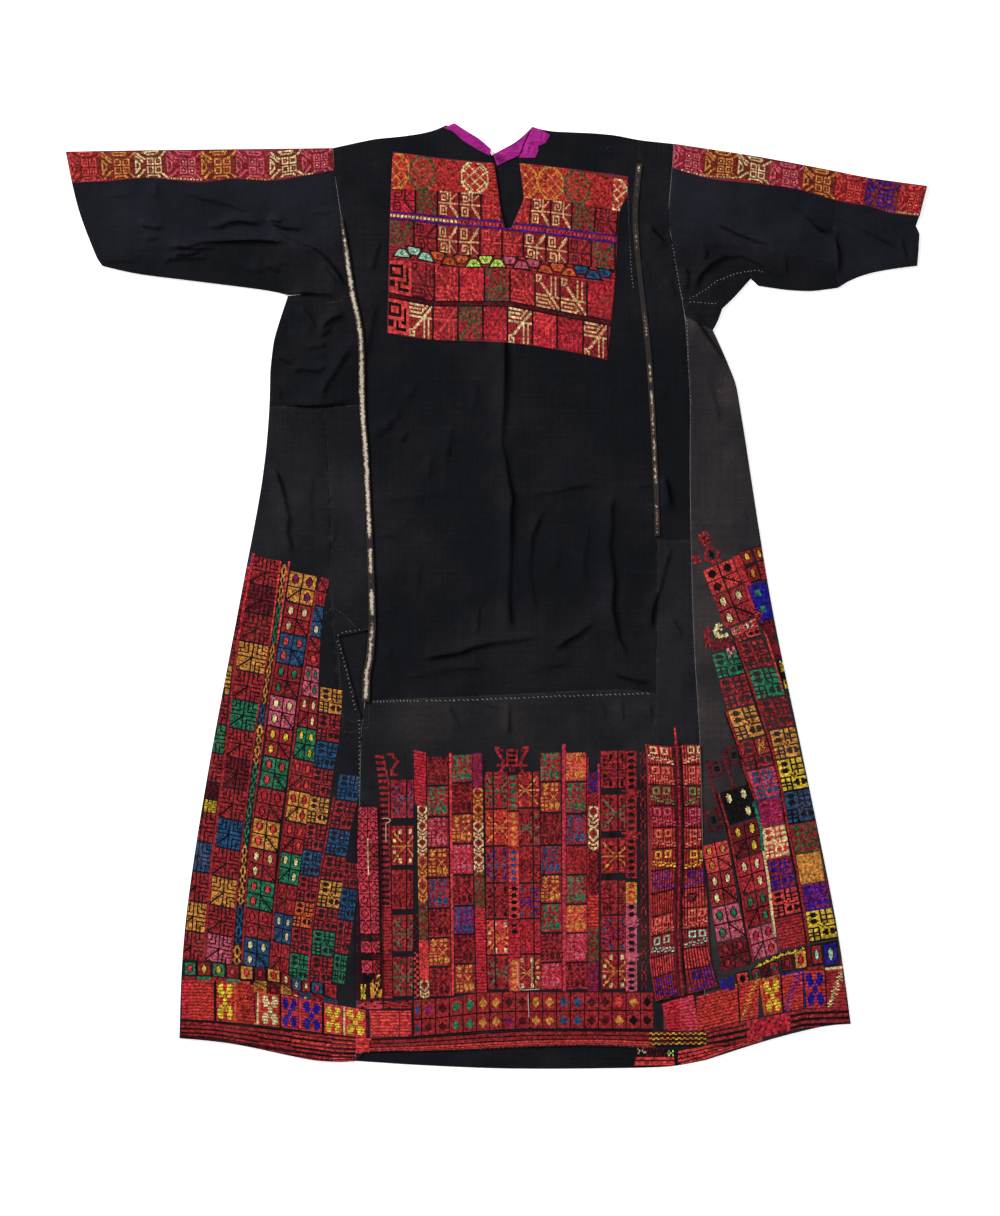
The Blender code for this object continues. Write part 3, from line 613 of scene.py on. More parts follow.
def floss(name):
    """Stitched floss: each square a cross of two plump threads with the dark cloth in its corners."""
    material, add, join = finish(name, 0.55, 0.04)
    square = add("ShaderNodeUVMap", uv_map="stitch")[0]
    u, v = (reckoned(add, "FRACT", way) for way in add("ShaderNodeSeparateXYZ", {0: square})[:2])
    over = reckoned(add, "ABSOLUTE", reckoned(add, "SUBTRACT", u, v))
    under = reckoned(add, "SUBTRACT", reckoned(add, "ADD", u, v), 1.0)
    under = ranged(add, reckoned(add, "ABSOLUTE", under), 0.12, 0.52, 0.8, 0.0)
    height = reckoned(add, "MAXIMUM", ranged(add, over, 0.12, 0.52, 1.0, 0.0), under)
    thread = add("ShaderNodeAttribute", attribute_name="thread")[0]
    place = add("ShaderNodeTexCoord")[3]
    faded = mottle(add, place, 26.0, detail=4.0)
    thread = blended(add, ranged(add, faded, 0.45, 0.8, 0.0, 0.12), thread, dye(168, 96, 84))
    # The thread darkens from the middle of each crossed thread to the gaps between them: partly the dark
    # cloth that shows there, partly painted shade on the round threads, with painted light on their crests.
    thread = blended(add, 1.0, thread, ranged(add, height, 0.0, 0.9, 0.36, 1.16), "MULTIPLY")
    strands = mottle(add, place, 1.0, (2600, 900, 1), 1.0)
    thread = blended(add, 1.0, thread, ranged(add, strands, 0.3, 0.7, 0.86, 1.1), "MULTIPLY")
    uneven = mottle(add, place, 230.0, detail=3.0, rough=0.7)
    thread = blended(add, 1.0, thread, ranged(add, uneven, 0.36, 0.64, 0.54, 1.42), "MULTIPLY")
    join("Base Color", thread)
    join("Normal", raised_by(add, 0.9, 0.0005, height))
    return material


def quarter(kind):
    """A square 9 stitches wide and 10 tall: a diamond, a dotted diagonal or hooks in a hook."""
    made = []
    for row in range(10):
        line = ""
        for col in range(9):
            off, (low, high) = abs(col + row - 8.6), sorted((8 - col, 9 - row))
            if kind == "slash":
                dark = off < 0.7 or 1.8 < off < 2.9 and row % 2
            else:
                dark = low in (2, 5) or (low, high) == (3, 7)
            line += "k" if dark else "r"
        made.append(line)
    if kind == "diamond":
        made = """rrrrrrrrr rrrrkrrrr rrrkfkrrr rrkfffkrr rrkfffkrr rrkfffkrr rrkfffkrr rrrkfkrrr rrrrkrrrr
            rrrrrrrrr""".split()
    return made


def mirrored(rows):
    """The same stitches from right to left."""
    return [row[::-1] for row in rows]


def four(kind, slash_at):
    """Four quarters with dark lines between: three alike and one crossed by a dotted diagonal."""
    alike, slash = quarter(kind), quarter("slash")
    flipped = kind == "hook"
    corners = [alike, mirrored(alike), alike[::-1] if flipped else alike,
               mirrored(alike[::-1]) if flipped else alike]
    corners[slash_at] = slash if slash_at in (1, 2) else mirrored(slash)
    upper = [a + "k" + b for a, b in zip(corners[0], corners[1])]
    lower = [a + "k" + b for a, b in zip(corners[2], corners[3])]
    return upper + ["k" * 19] + lower + ["." * 19]


CHARTS = {
    "squares": four("diamond", 3), "squares left": four("diamond", 2), "hooks": four("hook", 2),
    "half squares": [row[:9] for row in four("diamond", 0)],
    "one": ["k" * 11] + ["k" + row + "k" for row in quarter("diamond")] + ["k" * 11],
    "plain": ["rrrr"] * 4,
    "links": "..ff.. .ffff. .fkkf. ffkkff ffkkff .fkkf. .ffff. ..ff.. .f..f. ff..ff .f..f. ..ff..".split(),
    "windows": """rrrrrrr.rr.rrr rr...rr.rr.rrr r.....r.rr.rrr rr...rr....... rrrrrrr.rr.rrr rr...rr.rr.rrr
        r.....r....... rr...rr.rr.rrr rrrrrrrr.r.rrr rrrrrr.r.rrrrr ......r.r..... rr.rr.rrrrrrrr
        rr.rr.rr..r..r ......r...r... rr.rr.r...r... ......rr..r..r rr.rr.rrrrrrrr rr.rr.rrrrrrrr
        ..............""".split(),
}


def corner_of(line, down, from_line=None, slope=0.0):
    """The place on a column's edge at a height, level with a place on the edge that it faces."""
    line = np.array(path(line), float)
    if from_line is None:
        return np.array((np.interp(down, line[:, 1], line[:, 0]), down))
    start = corner_of(from_line, down)
    level = down
    for _ in range(3):
        right = np.interp(level, line[:, 1], line[:, 0])
        level = down + slope * (right - start[0])
    return np.array((right, level))


def shifted(line, right=0.0, down=0.0):
    """The same line so far further right and down."""
    return [(x + right, y + down) for x, y in path(line)]


def tiles(chart, listed):
    """Motifs in order with commas between: threads, chart:threads or threads*count, or nothing for a gap."""
    made = []
    for entry in listed.split(","):
        entry, _star, count = entry.strip().partition("*")
        own, _colon, threads = entry.rpartition(":")
        made += [(own or chart, threads) if threads else None] * int(count or 1)
    return made


def column(work, left, right, cuts, motifs, slope=0.2, gap=0.5):
    """A column of motifs between two lines, from the top down, cut at these heights.

    Two cuts are its ends, with motifs alike in height between them."""
    cuts = np.linspace(*cuts, len(motifs) + 1) if len(cuts) == 2 else cuts
    slopes = np.broadcast_to(slope, len(cuts))
    for number, (top, foot, motif) in enumerate(zip(cuts, cuts[1:], motifs)):
        if motif is None:
            continue
        corners = [corner_of(left, top), corner_of(right, top, left, slopes[number]),
                   corner_of(left, foot - gap), corner_of(right, foot - gap, left, slopes[number + 1])]
        work.append((corners, *motif))


def row_of(work, upper, lower, cuts, motifs, gap=0.0):
    """A row of motifs between two lines, from left to right, cut at these places.

    A cut is one place, or one on each line. Two cuts are its ends, with motifs alike in width between."""
    upper, lower, cuts = np.array(path(upper), float), np.array(path(lower), float), path(cuts)
    cuts = np.linspace(*cuts, len(motifs) + 1) if len(cuts) == 2 else cuts
    for start, end, motif in zip(cuts, cuts[1:], motifs):
        if motif is None:
            continue
        (start_up, start_low), (end_up, end_low) = np.broadcast_to(start, 2), np.broadcast_to(end, 2)
        ends = ((start_up, 0, upper), (end_up, gap, upper), (start_low, 0, lower), (end_low, gap, lower))
        corners = [np.array((right - short, np.interp(right, *line.T))) for right, short, line in ends]
        work.append((corners, *motif))


def grounded(carriers):
    """What the stitches sink onto: the upper sides of these pieces."""
    seen = bpy.context.evaluated_depsgraph_get()
    return [BVHTree.FromObject(piece, seen) for piece in pieces(carriers)]


def level_of(trees, x, y):
    """How high the cloth under a place lies, or nothing where there is none, in mm."""
    hits = [tree.ray_cast((x * MM, y * MM, 0.06), (0, 0, -1))[0] for tree in trees]
    return max((hit.z / MM for hit in hits if hit is not None), default=math.nan)


STITCH = (2.0, 1.5)  # mm, its width and height in plain areas
UNEVEN = 0.09  # mm, how far stitches stray
BESIDE = 1.2  # mm, where the cloth's height is taken beside a corner that lies over a gap
SUNK = 0.04  # mm, how far stitches go into the cloth
BAND_ROWS = 34  # of stitches in the motifs of a hem band
LINED = (1.3, 1.14, 0.5)  # how light the rows of wide plain areas are, in turn
# The four sides of a stitch: which way each looks, and its two corners.
SIDES = ((0, -1, (0, 0), (1, 0)), (0, 1, (1, 1), (0, 1)), (-1, 0, (0, 1), (0, 0)), (1, 0, (1, 0), (1, 1)))


def embroidery(name, work, carriers, seed, raised=0.34):
    """One worked area: every chart mapped into its place as raised squares of thread on the cloth."""
    trees = grounded(carriers)
    chance = np.random.default_rng(seed)
    places, faces, colours, squares = [], [], [], []
    for corners, chart, threads in work:
        a, b, c, d = (on_table(*corner) for corner in corners)
        chart = CHARTS[chart] if isinstance(chart, str) else chart
        wide, tall = (math.dist(a, b) + math.dist(c, d)) / 2, (math.dist(a, c) + math.dist(b, d)) / 2
        plain = len(chart) == 4 and set("".join(chart)) == {"r"}
        lined = plain and wide > 9 or len(chart) == BAND_ROWS
        if plain:
            chart = ["r" * max(1, round(wide / STITCH[0]))] * max(1, round(tall / STITCH[1]))
        threads = dict(zip("rfhk", threads.split() + ["red"] * 4))
        threads["k"] = "black" if threads["k"] == "red" else threads["k"]
        grid = np.array([list(row) for row in chart])
        rows, cols = grid.shape
        u, v = np.meshgrid(np.linspace(0, 1, cols + 1), np.linspace(0, 1, rows + 1))
        at = (np.multiply.outer((1 - u) * (1 - v), a) + np.multiply.outer(u * (1 - v), b)
              + np.multiply.outer((1 - u) * v, c) + np.multiply.outer(u * v, d))
        at = at + chance.normal(0, UNEVEN, at.shape)
        level = np.full((rows + 1, cols + 1), np.nan)
        needed = np.zeros((rows + 1, cols + 1), bool)
        filled = grid != "."
        for row_off in (0, 1):
            for column_off in (0, 1):
                needed[row_off:rows + row_off, column_off:cols + column_off] |= filled
        for row, col in zip(*np.nonzero(needed)):
            x, y = at[row, col]
            level[row, col] = level_of(trees, x, y)
            if np.isnan(level[row, col]):
                level[row, col] = (level_of(trees, x - BESIDE, y) + level_of(trees, x + BESIDE, y)) / 2
        whole = np.isfinite(level)
        filled &= whole[:-1, :-1] & whole[1:, :-1] & whole[:-1, 1:] & whole[1:, 1:]
        if not filled.any():
            continue
        index = np.arange((rows + 1) * (cols + 1)).reshape(rows + 1, cols + 1) + len(places)
        level = np.nan_to_num(level, nan=3.0)
        under = index + (rows + 1) * (cols + 1)
        places += np.dstack([at, level + raised]).reshape(-1, 3).tolist()
        places += np.dstack([at, level - SUNK]).reshape(-1, 3).tolist()
        filled_round = np.pad(filled, 1)
        for row, col in zip(*np.nonzero(filled)):
            shade = dye(*THREADS[threads[grid[row, col]]])
            # No two stitches take the dye alike, and one in twenty is worn through to the dark.
            tint = max(0.3, 1.02 + chance.normal(0, 0.3) - 0.45 * (chance.random() < 0.05))
            tint *= LINED[row % 3] if lined and rows > 5 else 1.0
            shade = (shade[0] * tint, shade[1] * tint, shade[2] * tint, 1.0)
            faces.append((index[row + 1, col], index[row + 1, col + 1], index[row, col + 1], index[row, col]))
            squares += ((col, row + 1), (col + 1, row + 1), (col + 1, row), (col, row))
            colours.append(shade)
            for row_off, column_off, first, last in SIDES:
                if not filled_round[row + 1 + row_off, col + 1 + column_off]:
                    p, q = (row + first[0], col + first[1]), (row + last[0], col + last[1])
                    faces.append((under[p], under[q], index[q], index[p]))
                    squares += ((col + 0.5, row + 0.5),) * 4
                    colours.append(shade)
    used = np.unique(np.array(faces))
    fresh = np.full(len(places), -1)
    fresh[used] = np.arange(len(used))
    made = mesh_object(name, np.array(places)[used], fresh[np.array(faces)].tolist(), FLOSS, smooth=False)
    mesh = made.data
    thread = mesh.attributes.new("thread", "FLOAT_COLOR", "CORNER")
    thread.data.foreach_set("color", np.repeat(np.array(colours, np.float32), 4, axis=0).ravel())
    mesh.uv_layers.new(name="stitch").uv.foreach_set("vector", np.array(squares, np.float32).ravel())
    flat_map(made)
    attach(made, "root")


FLOSS = floss("floss_cross_stitch")
EDGE_LINE = "254,553 251,570 245,600 238,640 231,690 228,720 225,760 219,800 213,850 209,900 204,962"
A_RIGHT = "280,560 274,610 268,650 261,690 254,730 250,770 244.5,810 240,845 236,890 232.5,930 230,965"
LINK_RIGHT = "289.5,562 282.5,610 276,650 269,690 263.5,740 256.5,790 250,835 245.5,900 242,965"
C_LEFT = """319,575 312.5,610 307.5,645 304.5,670 299,700 296.5,730 292,760 287,800 282,840 275,900
    269.5,975"""
C_RIGHT = """330,578 322.5,612 320,645 319,672 318,700 316,735 313.5,765 309.5,800 304.5,835 297,890
    291,930 288,975"""
E_LEFT = "340,774 336,800 329.5,832 321,880 313.5,930 310,985"
work = []
column(work, shifted(EDGE_LINE, 1.8), A_RIGHT,
       (556, 584, 612, 641, 670, 699, 728, 757, 787, 818, 847, 876, 905, 933, 961),
       tiles("hooks", "red,wine,brick,gold,red,green,red,wine,red,blue,red,gold,red,pink"))
column(work, shifted(EDGE_LINE, -27), shifted(EDGE_LINE, -1.8),
       (548, 562, 578, 607, 636, 662, 692, 722, 751, 780, 797, 810, 840, 870, 900, 930, 959),
       tiles("hooks", "blue,rose,brick,wine,brick,gold,red,green,red,maroon,yellow,red,blue,red,gold,red"),
       0.17)
column(work, shifted(EDGE_LINE, -1.6), shifted(EDGE_LINE, 1.2), (553, 640, 760, 860, 962),
       tiles("plain", "crimson,red*3"))
column(work, shifted(A_RIGHT, 2.4), shifted(LINK_RIGHT, -1.2), (564, 964),
       tiles("links", "x gold*2,x green*2,x gold*3,x blue,x gold*2,x green*4,x gold*3,x blue*2,x gold"))
for line in (shifted(A_RIGHT, 1), LINK_RIGHT):
    column(work, shifted(line, -0.9), shifted(line, 0.9), (561, 640, 720, 800, 880, 964),
           tiles("plain", "coral,red*2,brick,red"))
column(work, "291.5,565 285,610 278.5,650 271,695 266,745 259,790 252,835 247,900 243.5,970",
       "317.5,575 311,612 304.5,650 296.5,700 291,745 284.5,795 278.5,835 273,900 268,970",
       (571, 602, 633, 663, 695, 726, 756, 787, 818, 848, 878, 908, 937, 966),
       tiles("squares", "squares left:gold purple,red cream,blue coral,brick green,pink cream,red yellow,"
             "green coral,red crimson,gold coral,red cream,green coral,red crimson,blue cream"), 0.22)
column(work, shifted(C_LEFT, -0.8), shifted(C_LEFT, 1), (590, 700, 800, 900, 968),
       tiles("plain", "red*2,brick,red"))
column(work, shifted(C_LEFT, 1.4), C_RIGHT, (577, 606, 637, 666),
       tiles("half squares", "red crimson,blue cream,red coral"), 0.22)
column(work, shifted(C_LEFT, 1.4), C_RIGHT, (666, 696, 727, 759, 790, 821, 852, 883, 913, 942, 971),
       tiles("squares left", "pink green,red cream,green yellow,red coral,gold crimson,red coral,"
             "green cream,red crimson,blue cream,red crimson"), 0.22)
column(work, "321,687 319,715 317,745 313.5,770 310,800 305.5,835 298,890 292,930 289,980",
       "343,687 341,715 338.5,745 333.5,770 329.5,800 325,835 316,890 310.5,930 307,985",
       (687, 713, 741, 768, 796, 823, 850, 875, 901, 927, 953, 980),
       tiles("windows", "gold,red,blue,red,gold,red,blue,red,orange,red,green"), 0.16)
column(work, shifted(E_LEFT, -3), shifted(E_LEFT, -1.2), (796, 860, 930, 985),
       tiles("plain", "red,brick,red"))
column(work, E_LEFT, "361.5,774 357.5,800 350,832 343,880 335.5,930 331,985",
       (774, 800, 829, 855, 880, 907, 930, 955, 983),
       tiles("windows", "blue,red,blue,red,gold,red,green,red"), 0.14)
column(work, "344,862 342,890 336.5,930 332.5,985", "358,862 357,890 353,925 347,960 344,985",
       (862, 888, 920, 954, 984), tiles("windows", "red,blue,red,green"), 0.16)

# A border of small squares between the columns and the hem band.
BORDER_TOP = "183,961 212,961.5 240,964.5 267,967 280,969 291,975 302,979.5 324,982.5 338,984"
BORDER_MIDDLE = """183,975.5 212,976.5 240,979.5 267,981 280,982.5 291,989.5 302,991.5 310,992
    324,995.5 338,1000"""
BORDER_FOOT = "183,979.5 212,980 240,984 254,992.5 280,994 291,995 300,999 310,1000 324,1003 338,1005"
row_of(work, BORDER_TOP, BORDER_MIDDLE, (184, 197, 212, 226, 240, 254, 267, 281, 292, 302, 311, 324, 338),
       tiles("one", "green coral,brick yellow,green yellow,brick coral,gold coral,wine crimson,"
             "gold crimson,brick cream,blue cream,red cream,blue crimson,red crimson"), 0.4)
row_of(work, BORDER_MIDDLE, BORDER_FOOT, (184, 197, 211.5, 226, 240),
       tiles("plain", "brick,green,red,green"), 0.4)
row_of(work, BORDER_MIDDLE, BORDER_FOOT, (254, 267, 281, 291.5, 301, 311, 324, 338),
       tiles("half squares", "gold crimson,wine crimson,gold cream,red cream,blue cream,red crimson,"
             "blue red"), 0.4)
embroidery("stitches_gore_left", work, "gore_left side_strip_left underarm_left", 11)

# ---------------------------------------------------------------- Cross-stitch on the lower front
# Below the centre seam stand narrow columns worked side by side down to the hem: square
# garden motifs, chains of links, ladders and half stars. A double row of diamonds and a
# few lines of plain stitch finish the foot.

CHARTS["garden"] = """rrfrrfrffrffrr rffffrrffrffrr rrffrrrrrrrrrr rffffrrffrffrr rrffrrrffrffrr
    rrrrrrrrrrrrrr rffffrfrrrrfrr rrffrrrfrrfrrr rrrrrrrrffrrrr ffrffrrrffrrrr rrrrrrrfrrfrrr
    ffrffrfrrrrfrr rrrrrrfffrfffr ffrffrfffrfffr ffrffrfffrfffr rrrrrrfffrfffr ffrffrrfrrrfrr
    rrrrrrrrrrrrrr ..............""".split()
CHARTS["diamond"] = ["k" + ("f" * wide).center(11, "r") for wide in (0, 0, 0, 1, 3, 5, 7, 7, 5, 3, 1, 0, 0)]
CHARTS["diamond"] += ["k" * 12]
CHARTS["ladder"] = "rrrrrrr rrkkkrr rkkkkkr rrkkkrr rrrrrrr".split()
CHARTS["oval ladder"] = [row.replace("k", "f") for row in CHARTS["ladder"]]
CHARTS["comb"] = "rrrrrrr rrrrrrr ......r ......r".split()
CHARTS["lattice"] = "rr.. ..rr ..rr rr..".split()
CHARTS["chain"] = ".r..r. .r..r. ..rr.. ..rr.. .r..r. .r..r. .r..r. .r..r.".split()
CHARTS["vase"] = """rrr..............rrrr rr.rr..rrrrrrr..rr.rr .rr....r.kkk.r....rr. ..rr...rrrrrrr...rr..
    ...rr..r.kkk.r..rr... ....rr.rrrrrrr.rr.... ....rr.r.kkk.r.rr.... .rrrrrrrrrrrrrrrrrrr.
    ....rr...r.r...rr.... ...rr....r.r....rr...""".split()
CHARTS["hook"] = "rrrr... ...rr.. ....rr. .....rr ....rr. ...rr.. ..rr... ..rr... ..rrrrr".split()
CHARTS["waist"] = "rrrrrrrrr .rrrrrrr. ..rrrrr.. .rrrrrrr.".split()
CHARTS["cap"] = (".rrrrrrrr.", "rrrrrrrrrr")
CHARTS["long links"] = """rffrffr ffrrrff frrrrrf frrkrrf frrrrrf ffrrrff rffrffr rrfffrr frrfrrf ffrrrff
    frfffrf frrrrrf rffrffr rrfffrr""".split()


def star(cols, line_at, middle):
    """Part of an eight-rayed star on a plain ground, with a dark line down it."""
    made = []
    for row in range(24):
        line = ""
        for col in range(cols):
            dx, dy = abs(col - middle), abs(row - 12) * 0.92
            ray = abs(dx - dy) < 0.6 and dx < 9 or dy < 0.6 and dx > 1
            shade = abs(abs(dx - dy) - 2) < 0.5 and 3 < dx + dy < 15 and col % 2
            leaf = 2 < dx < 5 and 7 < dy < 10 or 6 < dx < 9 and 2 < dy < 4.5
            line += "k" if col == line_at or shade and not ray else "f" if ray else "h" if leaf else "r"
        made.append(line)
    return made + ["." * cols]


CHARTS["star left"], CHARTS["star right"] = star(15, 5, 9), star(14, 9, 4)
CHARTS["star half"] = star(15, 10, 9)


def runs(work, left, right, high, listed):
    """Runs of one small motif, each about so high, down a column: from, to and threads of each run."""
    for run in listed.split(","):
        top, foot, motif = run.split(maxsplit=2)
        top, foot = float(top), float(foot)
        count = 1 if motif.startswith("plain") else max(1, round((foot - top) / high))
        column(work, left, right, (top, foot), tiles("long links", motif) * count, 0, 0)


work = []
for left, right, cuts, listed in (
        ("427,757 428,850 430,998", "447.5,757 449,870 451.5,998",
         (757, 787, 818, 849, 879, 909.5, 939, 968, 998),
         "brick maroon,red green,red pink,brick gold,red blue,red maroon,red gold,red maroon"),
        ("452,755 453,880 456,995", "472,755 473,880 475.5,995",
         (755, 784, 815, 845, 876, 907, 935.5, 965, 995),
         "red green,brick maroon,red gold,crimson pink,red maroon,purple blue,brick maroon,red gold"),
        ("540.5,753 541.5,991", "560.5,753 562,991", (753, 783, 814, 846.5, 876, 904.5, 934, 963.5, 991),
         "red green,red gold,brick maroon,red blue,red gold,red green,red maroon,crimson pink"),
        ("566,753 566.5,991", "586,753 587,991", (753, 783, 815, 846.5, 876, 905.5, 934, 963.5, 991),
         "coral gold,red green,red blue,red brick,red green,coral gold,crimson pink,red maroon")):
    column(work, left, right, cuts, tiles("garden", listed), -0.03)
for chart, left, right, cuts, listed in (
        ("star left", "485,772 486,900 488,991", "507,772 508,900 509.5,991",
         (772, 810, 847, 884, 920, 956, 991),
         "red green moss,madder gold orange,red blue royal,red maroon black,coral gold cream,"
         "red green maroon"),
        ("star right", "518.5,772 521,991", "539,772 541,991", (772, 809, 847, 884, 919.5, 955, 991),
         "red gold orange,red green maroon,red maroon brick,red royal blue,crimson red brick,"
         "red gold cream"),
        ("star half", "601,751 601.5,991", "625,751 625.5,991",
         (751, 790, 795, 833, 838, 875, 880.5, 916, 952, 991),
         "red maroon black,,red green maroon,,red gold coral,,red maroon wine,red purple blue,"
         "red gold cream"),
        ("star half", "391,780 393.5,998", "413.5,780 412.5,998",
         (780, 820, 826, 867, 870, 911, 915, 953, 957, 998),
         "red blue purple,,red gold cream,,red brick maroon,,red green moss,,red green moss")):
    column(work, left, right, cuts, tiles(chart, listed), -0.02)
runs(work, "417,750 418,870 420,998", "427,750 427,870 429.5,998", 19,
     "805 855 brick cream,855 902 brick gold,902 940 brick moss,940 980 coral coral,980 998 brick cream")
column(work, "413.7,750 415,805", "426,750 426,805", (750, 805), tiles("plain", "crimson"))
column(work, "413,912 414.5,998", "418,912 419,998", (912, 998), tiles("lattice", "maroon*7,coral*8"), 0, 0)
runs(work, "472.5,753 474,870 477,992", "482,753 484,870 487,992", 19,
     "753 788 brick purple,788 822 brick gold,822 872 brick cream,872 908 brick moss,"
     "908 945 plain:crimson,945 992 plain:crimson")
runs(work, "588,757 588,992", "598.5,757 598.5,992", 19,
     "772 792 wine royal,792 806 brick wine,806 850 brick cream,850 895 brick maroon,"
     "895 928 plain:madder,928 962 brick moss,962 991 brick purple")
for left, right, top, foot, threads in (
        (449, 451.5, 753, 995, "coral"), (562, 565.5, 744, 991, "rose"), (587, 588.6, 757, 991, "red"),
        (597.4, 599.4, 764, 820, "rose"), (483.3, 484.8, 760, 992, "black"),
        (599.6, 601, 750, 991, "maroon")):
    lean = 3 if left < 500 else 0.6
    column(work, ((left, top), (left + lean, foot)), ((right, top), (right + lean, foot)), (top, foot),
           [("plain", threads)] * 5, 0, 0)
runs(work, "507.5,772 509.5,991", "518,772 520.5,991", 6.6,
     "775 810 oval ladder:red green,812 846 oval ladder:coral gold,849 882 oval ladder:coral blue,"
     "885 919 ladder:coral,921 935 ladder:crimson,959 991 oval ladder:coral gold,935 959 plain:crimson")
runs(work, "625.6,750 626,991", "636.5,750 637,991", 6.8,
     "751 790 ladder:red,797 832 ladder:red,838 878 ladder:red,882 903 oval ladder:gold coral,"
     "903 918 ladder:pink,925 953 ladder:pink,960 991 ladder:pink")
for down, threads in ((790, "red"), (832, "red"), (918, "pink"), (953, "pink")):
    column(work, ((621.5, down), (625, down + 3.5), (622, down + 7)),
           ((640.5, down), (637, down + 3.5), (641, down + 7)), (down, down + 7), [("waist", threads)], 0, 0)
for down in (846, 882, 920):
    column(work, ((505, down), (505, down + 5)), ((521, down), (521, down + 5)), (down, down + 4),
           [("cap", "red")], 0, 0)
for left, right, cuts, motifs in (
        ("638.5,752 640,991", "647,752 648,991", (752, 990), tiles("chain", "brick,wine") * 11),
        ("379.5,786 381,880 382.5,1000", "389.5,786 391,880 392.5,1000", (786, 905),
         tiles("comb", "red*12,brick*8")),
        ("381.3,905 382.5,1000", "391.2,905 392.5,1000", (905, 948, 998), tiles("plain", "red,brick")),
        ("375,755 379,786", "384,755 390,786", (755, 786), tiles("comb", "red*5")),
        ("387,753 387,776", "399,753 399,776", (753, 776), tiles("hook", "brick")),
        ("495,747 495,772", "529,747 529,772", (746.5, 771.5), tiles("vase", "red"))):
    column(work, left, right, cuts, motifs, 0, 0)

# The double row of diamonds and the plain lines at the foot.
FOOT_MIDDLE = "413,1020 430,1019 475,1014 500,1012 655,1010.5"
DIAMOND_CUTS = (413.5, 421, 435, 449, 462.5, 476, 489, 502, 515, 529, 542, 556, 570, 584, 598, 611.5, 625.5,
                640, 653)
row_of(work, "413,1000 450,998 475,993.5 500,992 655,992.5", FOOT_MIDDLE, DIAMOND_CUTS,
       tiles("diamond", "red blue,red purple,red maroon,red green*2,red gold*2,red maroon*2,red gold*2,"
             "red blue*2,red maroon*2,red coral,red gold,red black"))
row_of(work, FOOT_MIDDLE, "413,1037 450,1034 490,1031 530,1029 655,1029.5", DIAMOND_CUTS,
       tiles("diamond", "red blue,red maroon*2,red green*2,red gold*2,red purple,red maroon,red gold*2,"
             "red blue*2,red maroon*2,red gold,red black*2"))


def lines_of(pattern, cells):
    """A few stitches wide of plain lines, one letter a line from the top."""
    return [letter * cells for letter in pattern]


HEM_LINE = path("355,1053 370,1052 450,1049.5 540,1045 600,1044 655,1047")
row_of(work, "355,1040 413,1038 450,1035 490,1032 530,1030 655,1030.5", HEM_LINE, (369, 655),
       [(lines_of("kkrrrrrkkrrrrrkkfffkffkf", 9), "red coral black")] * 22)
embroidery("stitches_front_lower", work, "front_lower side_strip_right gore_left", 12)

# ---------------------------------------------------------------- Left hem band and pink patch
# A band of plain red stitching with blocks in yellow, blue and pale green goes round the hem,
# over lines that follow the edge. A worn strip of rose squares from another dress is sewn
# beside it with cream thread, and a small coral patch under that.

BLOCK_ROWS = """rrrrrrrrrrrrr rrfffrrrfffrr rffffrrrffffr rffffrrrffffr rfffffrfffffr rrffffrffffrr
    rrfffrfrfffrr rrrrrfffrrrrr""".split()
CHARTS["blocks"] = [row for row in (*BLOCK_ROWS, "rrrrrfffrrrrr", *BLOCK_ROWS[::-1]) for _half in "ab"]
CHARTS["ring"] = "rrrrrrrr rrrkkrrr rrkrrkrr rkrrrrkr rkrrrrkr rrkrrkrr rrrkkrrr rrrrrrrr kkkkrkkk".split()
CHARTS["ring half"] = """rrrrrrrk rrrkkrrk rrkrrkkk rkrrrrrk rkrrrkrk rrkrrkkk rrrkkrrk rrrrrrrk
    kkrkkkkk""".split()
CHARTS["bits"] = "ff..ff ff.fff fff.f. ff.f.. fff.ff ff.fff".split()
CHARTS["darned"] = "rrhrrrhr rrrrhrrr hrrrrrrh rrhrrrrr rrrrrhrr rhrrrrrr".split()


def slanted(cols):
    """A double dotted line going down to the right."""
    made = []
    for row in range(BAND_ROWS):
        off = [col - (cols - 2) * row / (BAND_ROWS - 1) for col in range(cols)]
        made.append("".join("f" if -0.6 < o < 2.4 and (row // 2 + round(o)) % 2 else "r" for o in off))
    return made


def set_in(work, chart, threads, *corners):
    """One motif between four corners: upper left, upper right, lower left, lower right."""
    work.append(([np.array(corner, float) for corner in corners], chart, threads))


def set_each(work, listed):
    """Motifs set in one by one, each a line of its chart, a colon, its threads and its four corners."""
    for line in listed.strip().splitlines():
        words = line.split()
        chart, threads = " ".join(words[:-4]).split(":")
        set_in(work, chart, threads, *path(" ".join(words[-4:])))


CHARTS["slanted"] = slanted(9)
work = []
BAND = ("181,980 240,980.5 253,982 256,992 285,995 325,1003 343,1006 368,1010.5",
        "181,1018.5 213,1020 258,1024.5 300,1029.5 335,1034 368,1037.5")
row_of(work, *BAND, (182, 190, 214, 217, 234, 236.5, 238, 254),
       tiles("plain", "crimson,madder,black,,orange,madder*2"))
row_of(work, *BAND, (216.5, 234), tiles("blocks", "madder yellow"))
row_of(work, *BAND, "237.5,243 250,256", tiles("slanted", "madder orange"))
row_of(work, *BAND, "254,256 257.4,256.6 259.4,258.4 261.5,260.5", tiles("plain", "red,cream,coral"))
row_of(work, *BAND, (261, 279.5, 281.5, 298, 299.5, 301.5, 322, 324.5, 342, 343.5, 345.3, 366, 368.5),
       tiles("blocks", "madder cream,plain:black,madder royal,plain:purple,plain:coral,madder royal,"
             "plain:black,coral yellow,plain:red,plain:cream,coral yellow,plain:maroon"))
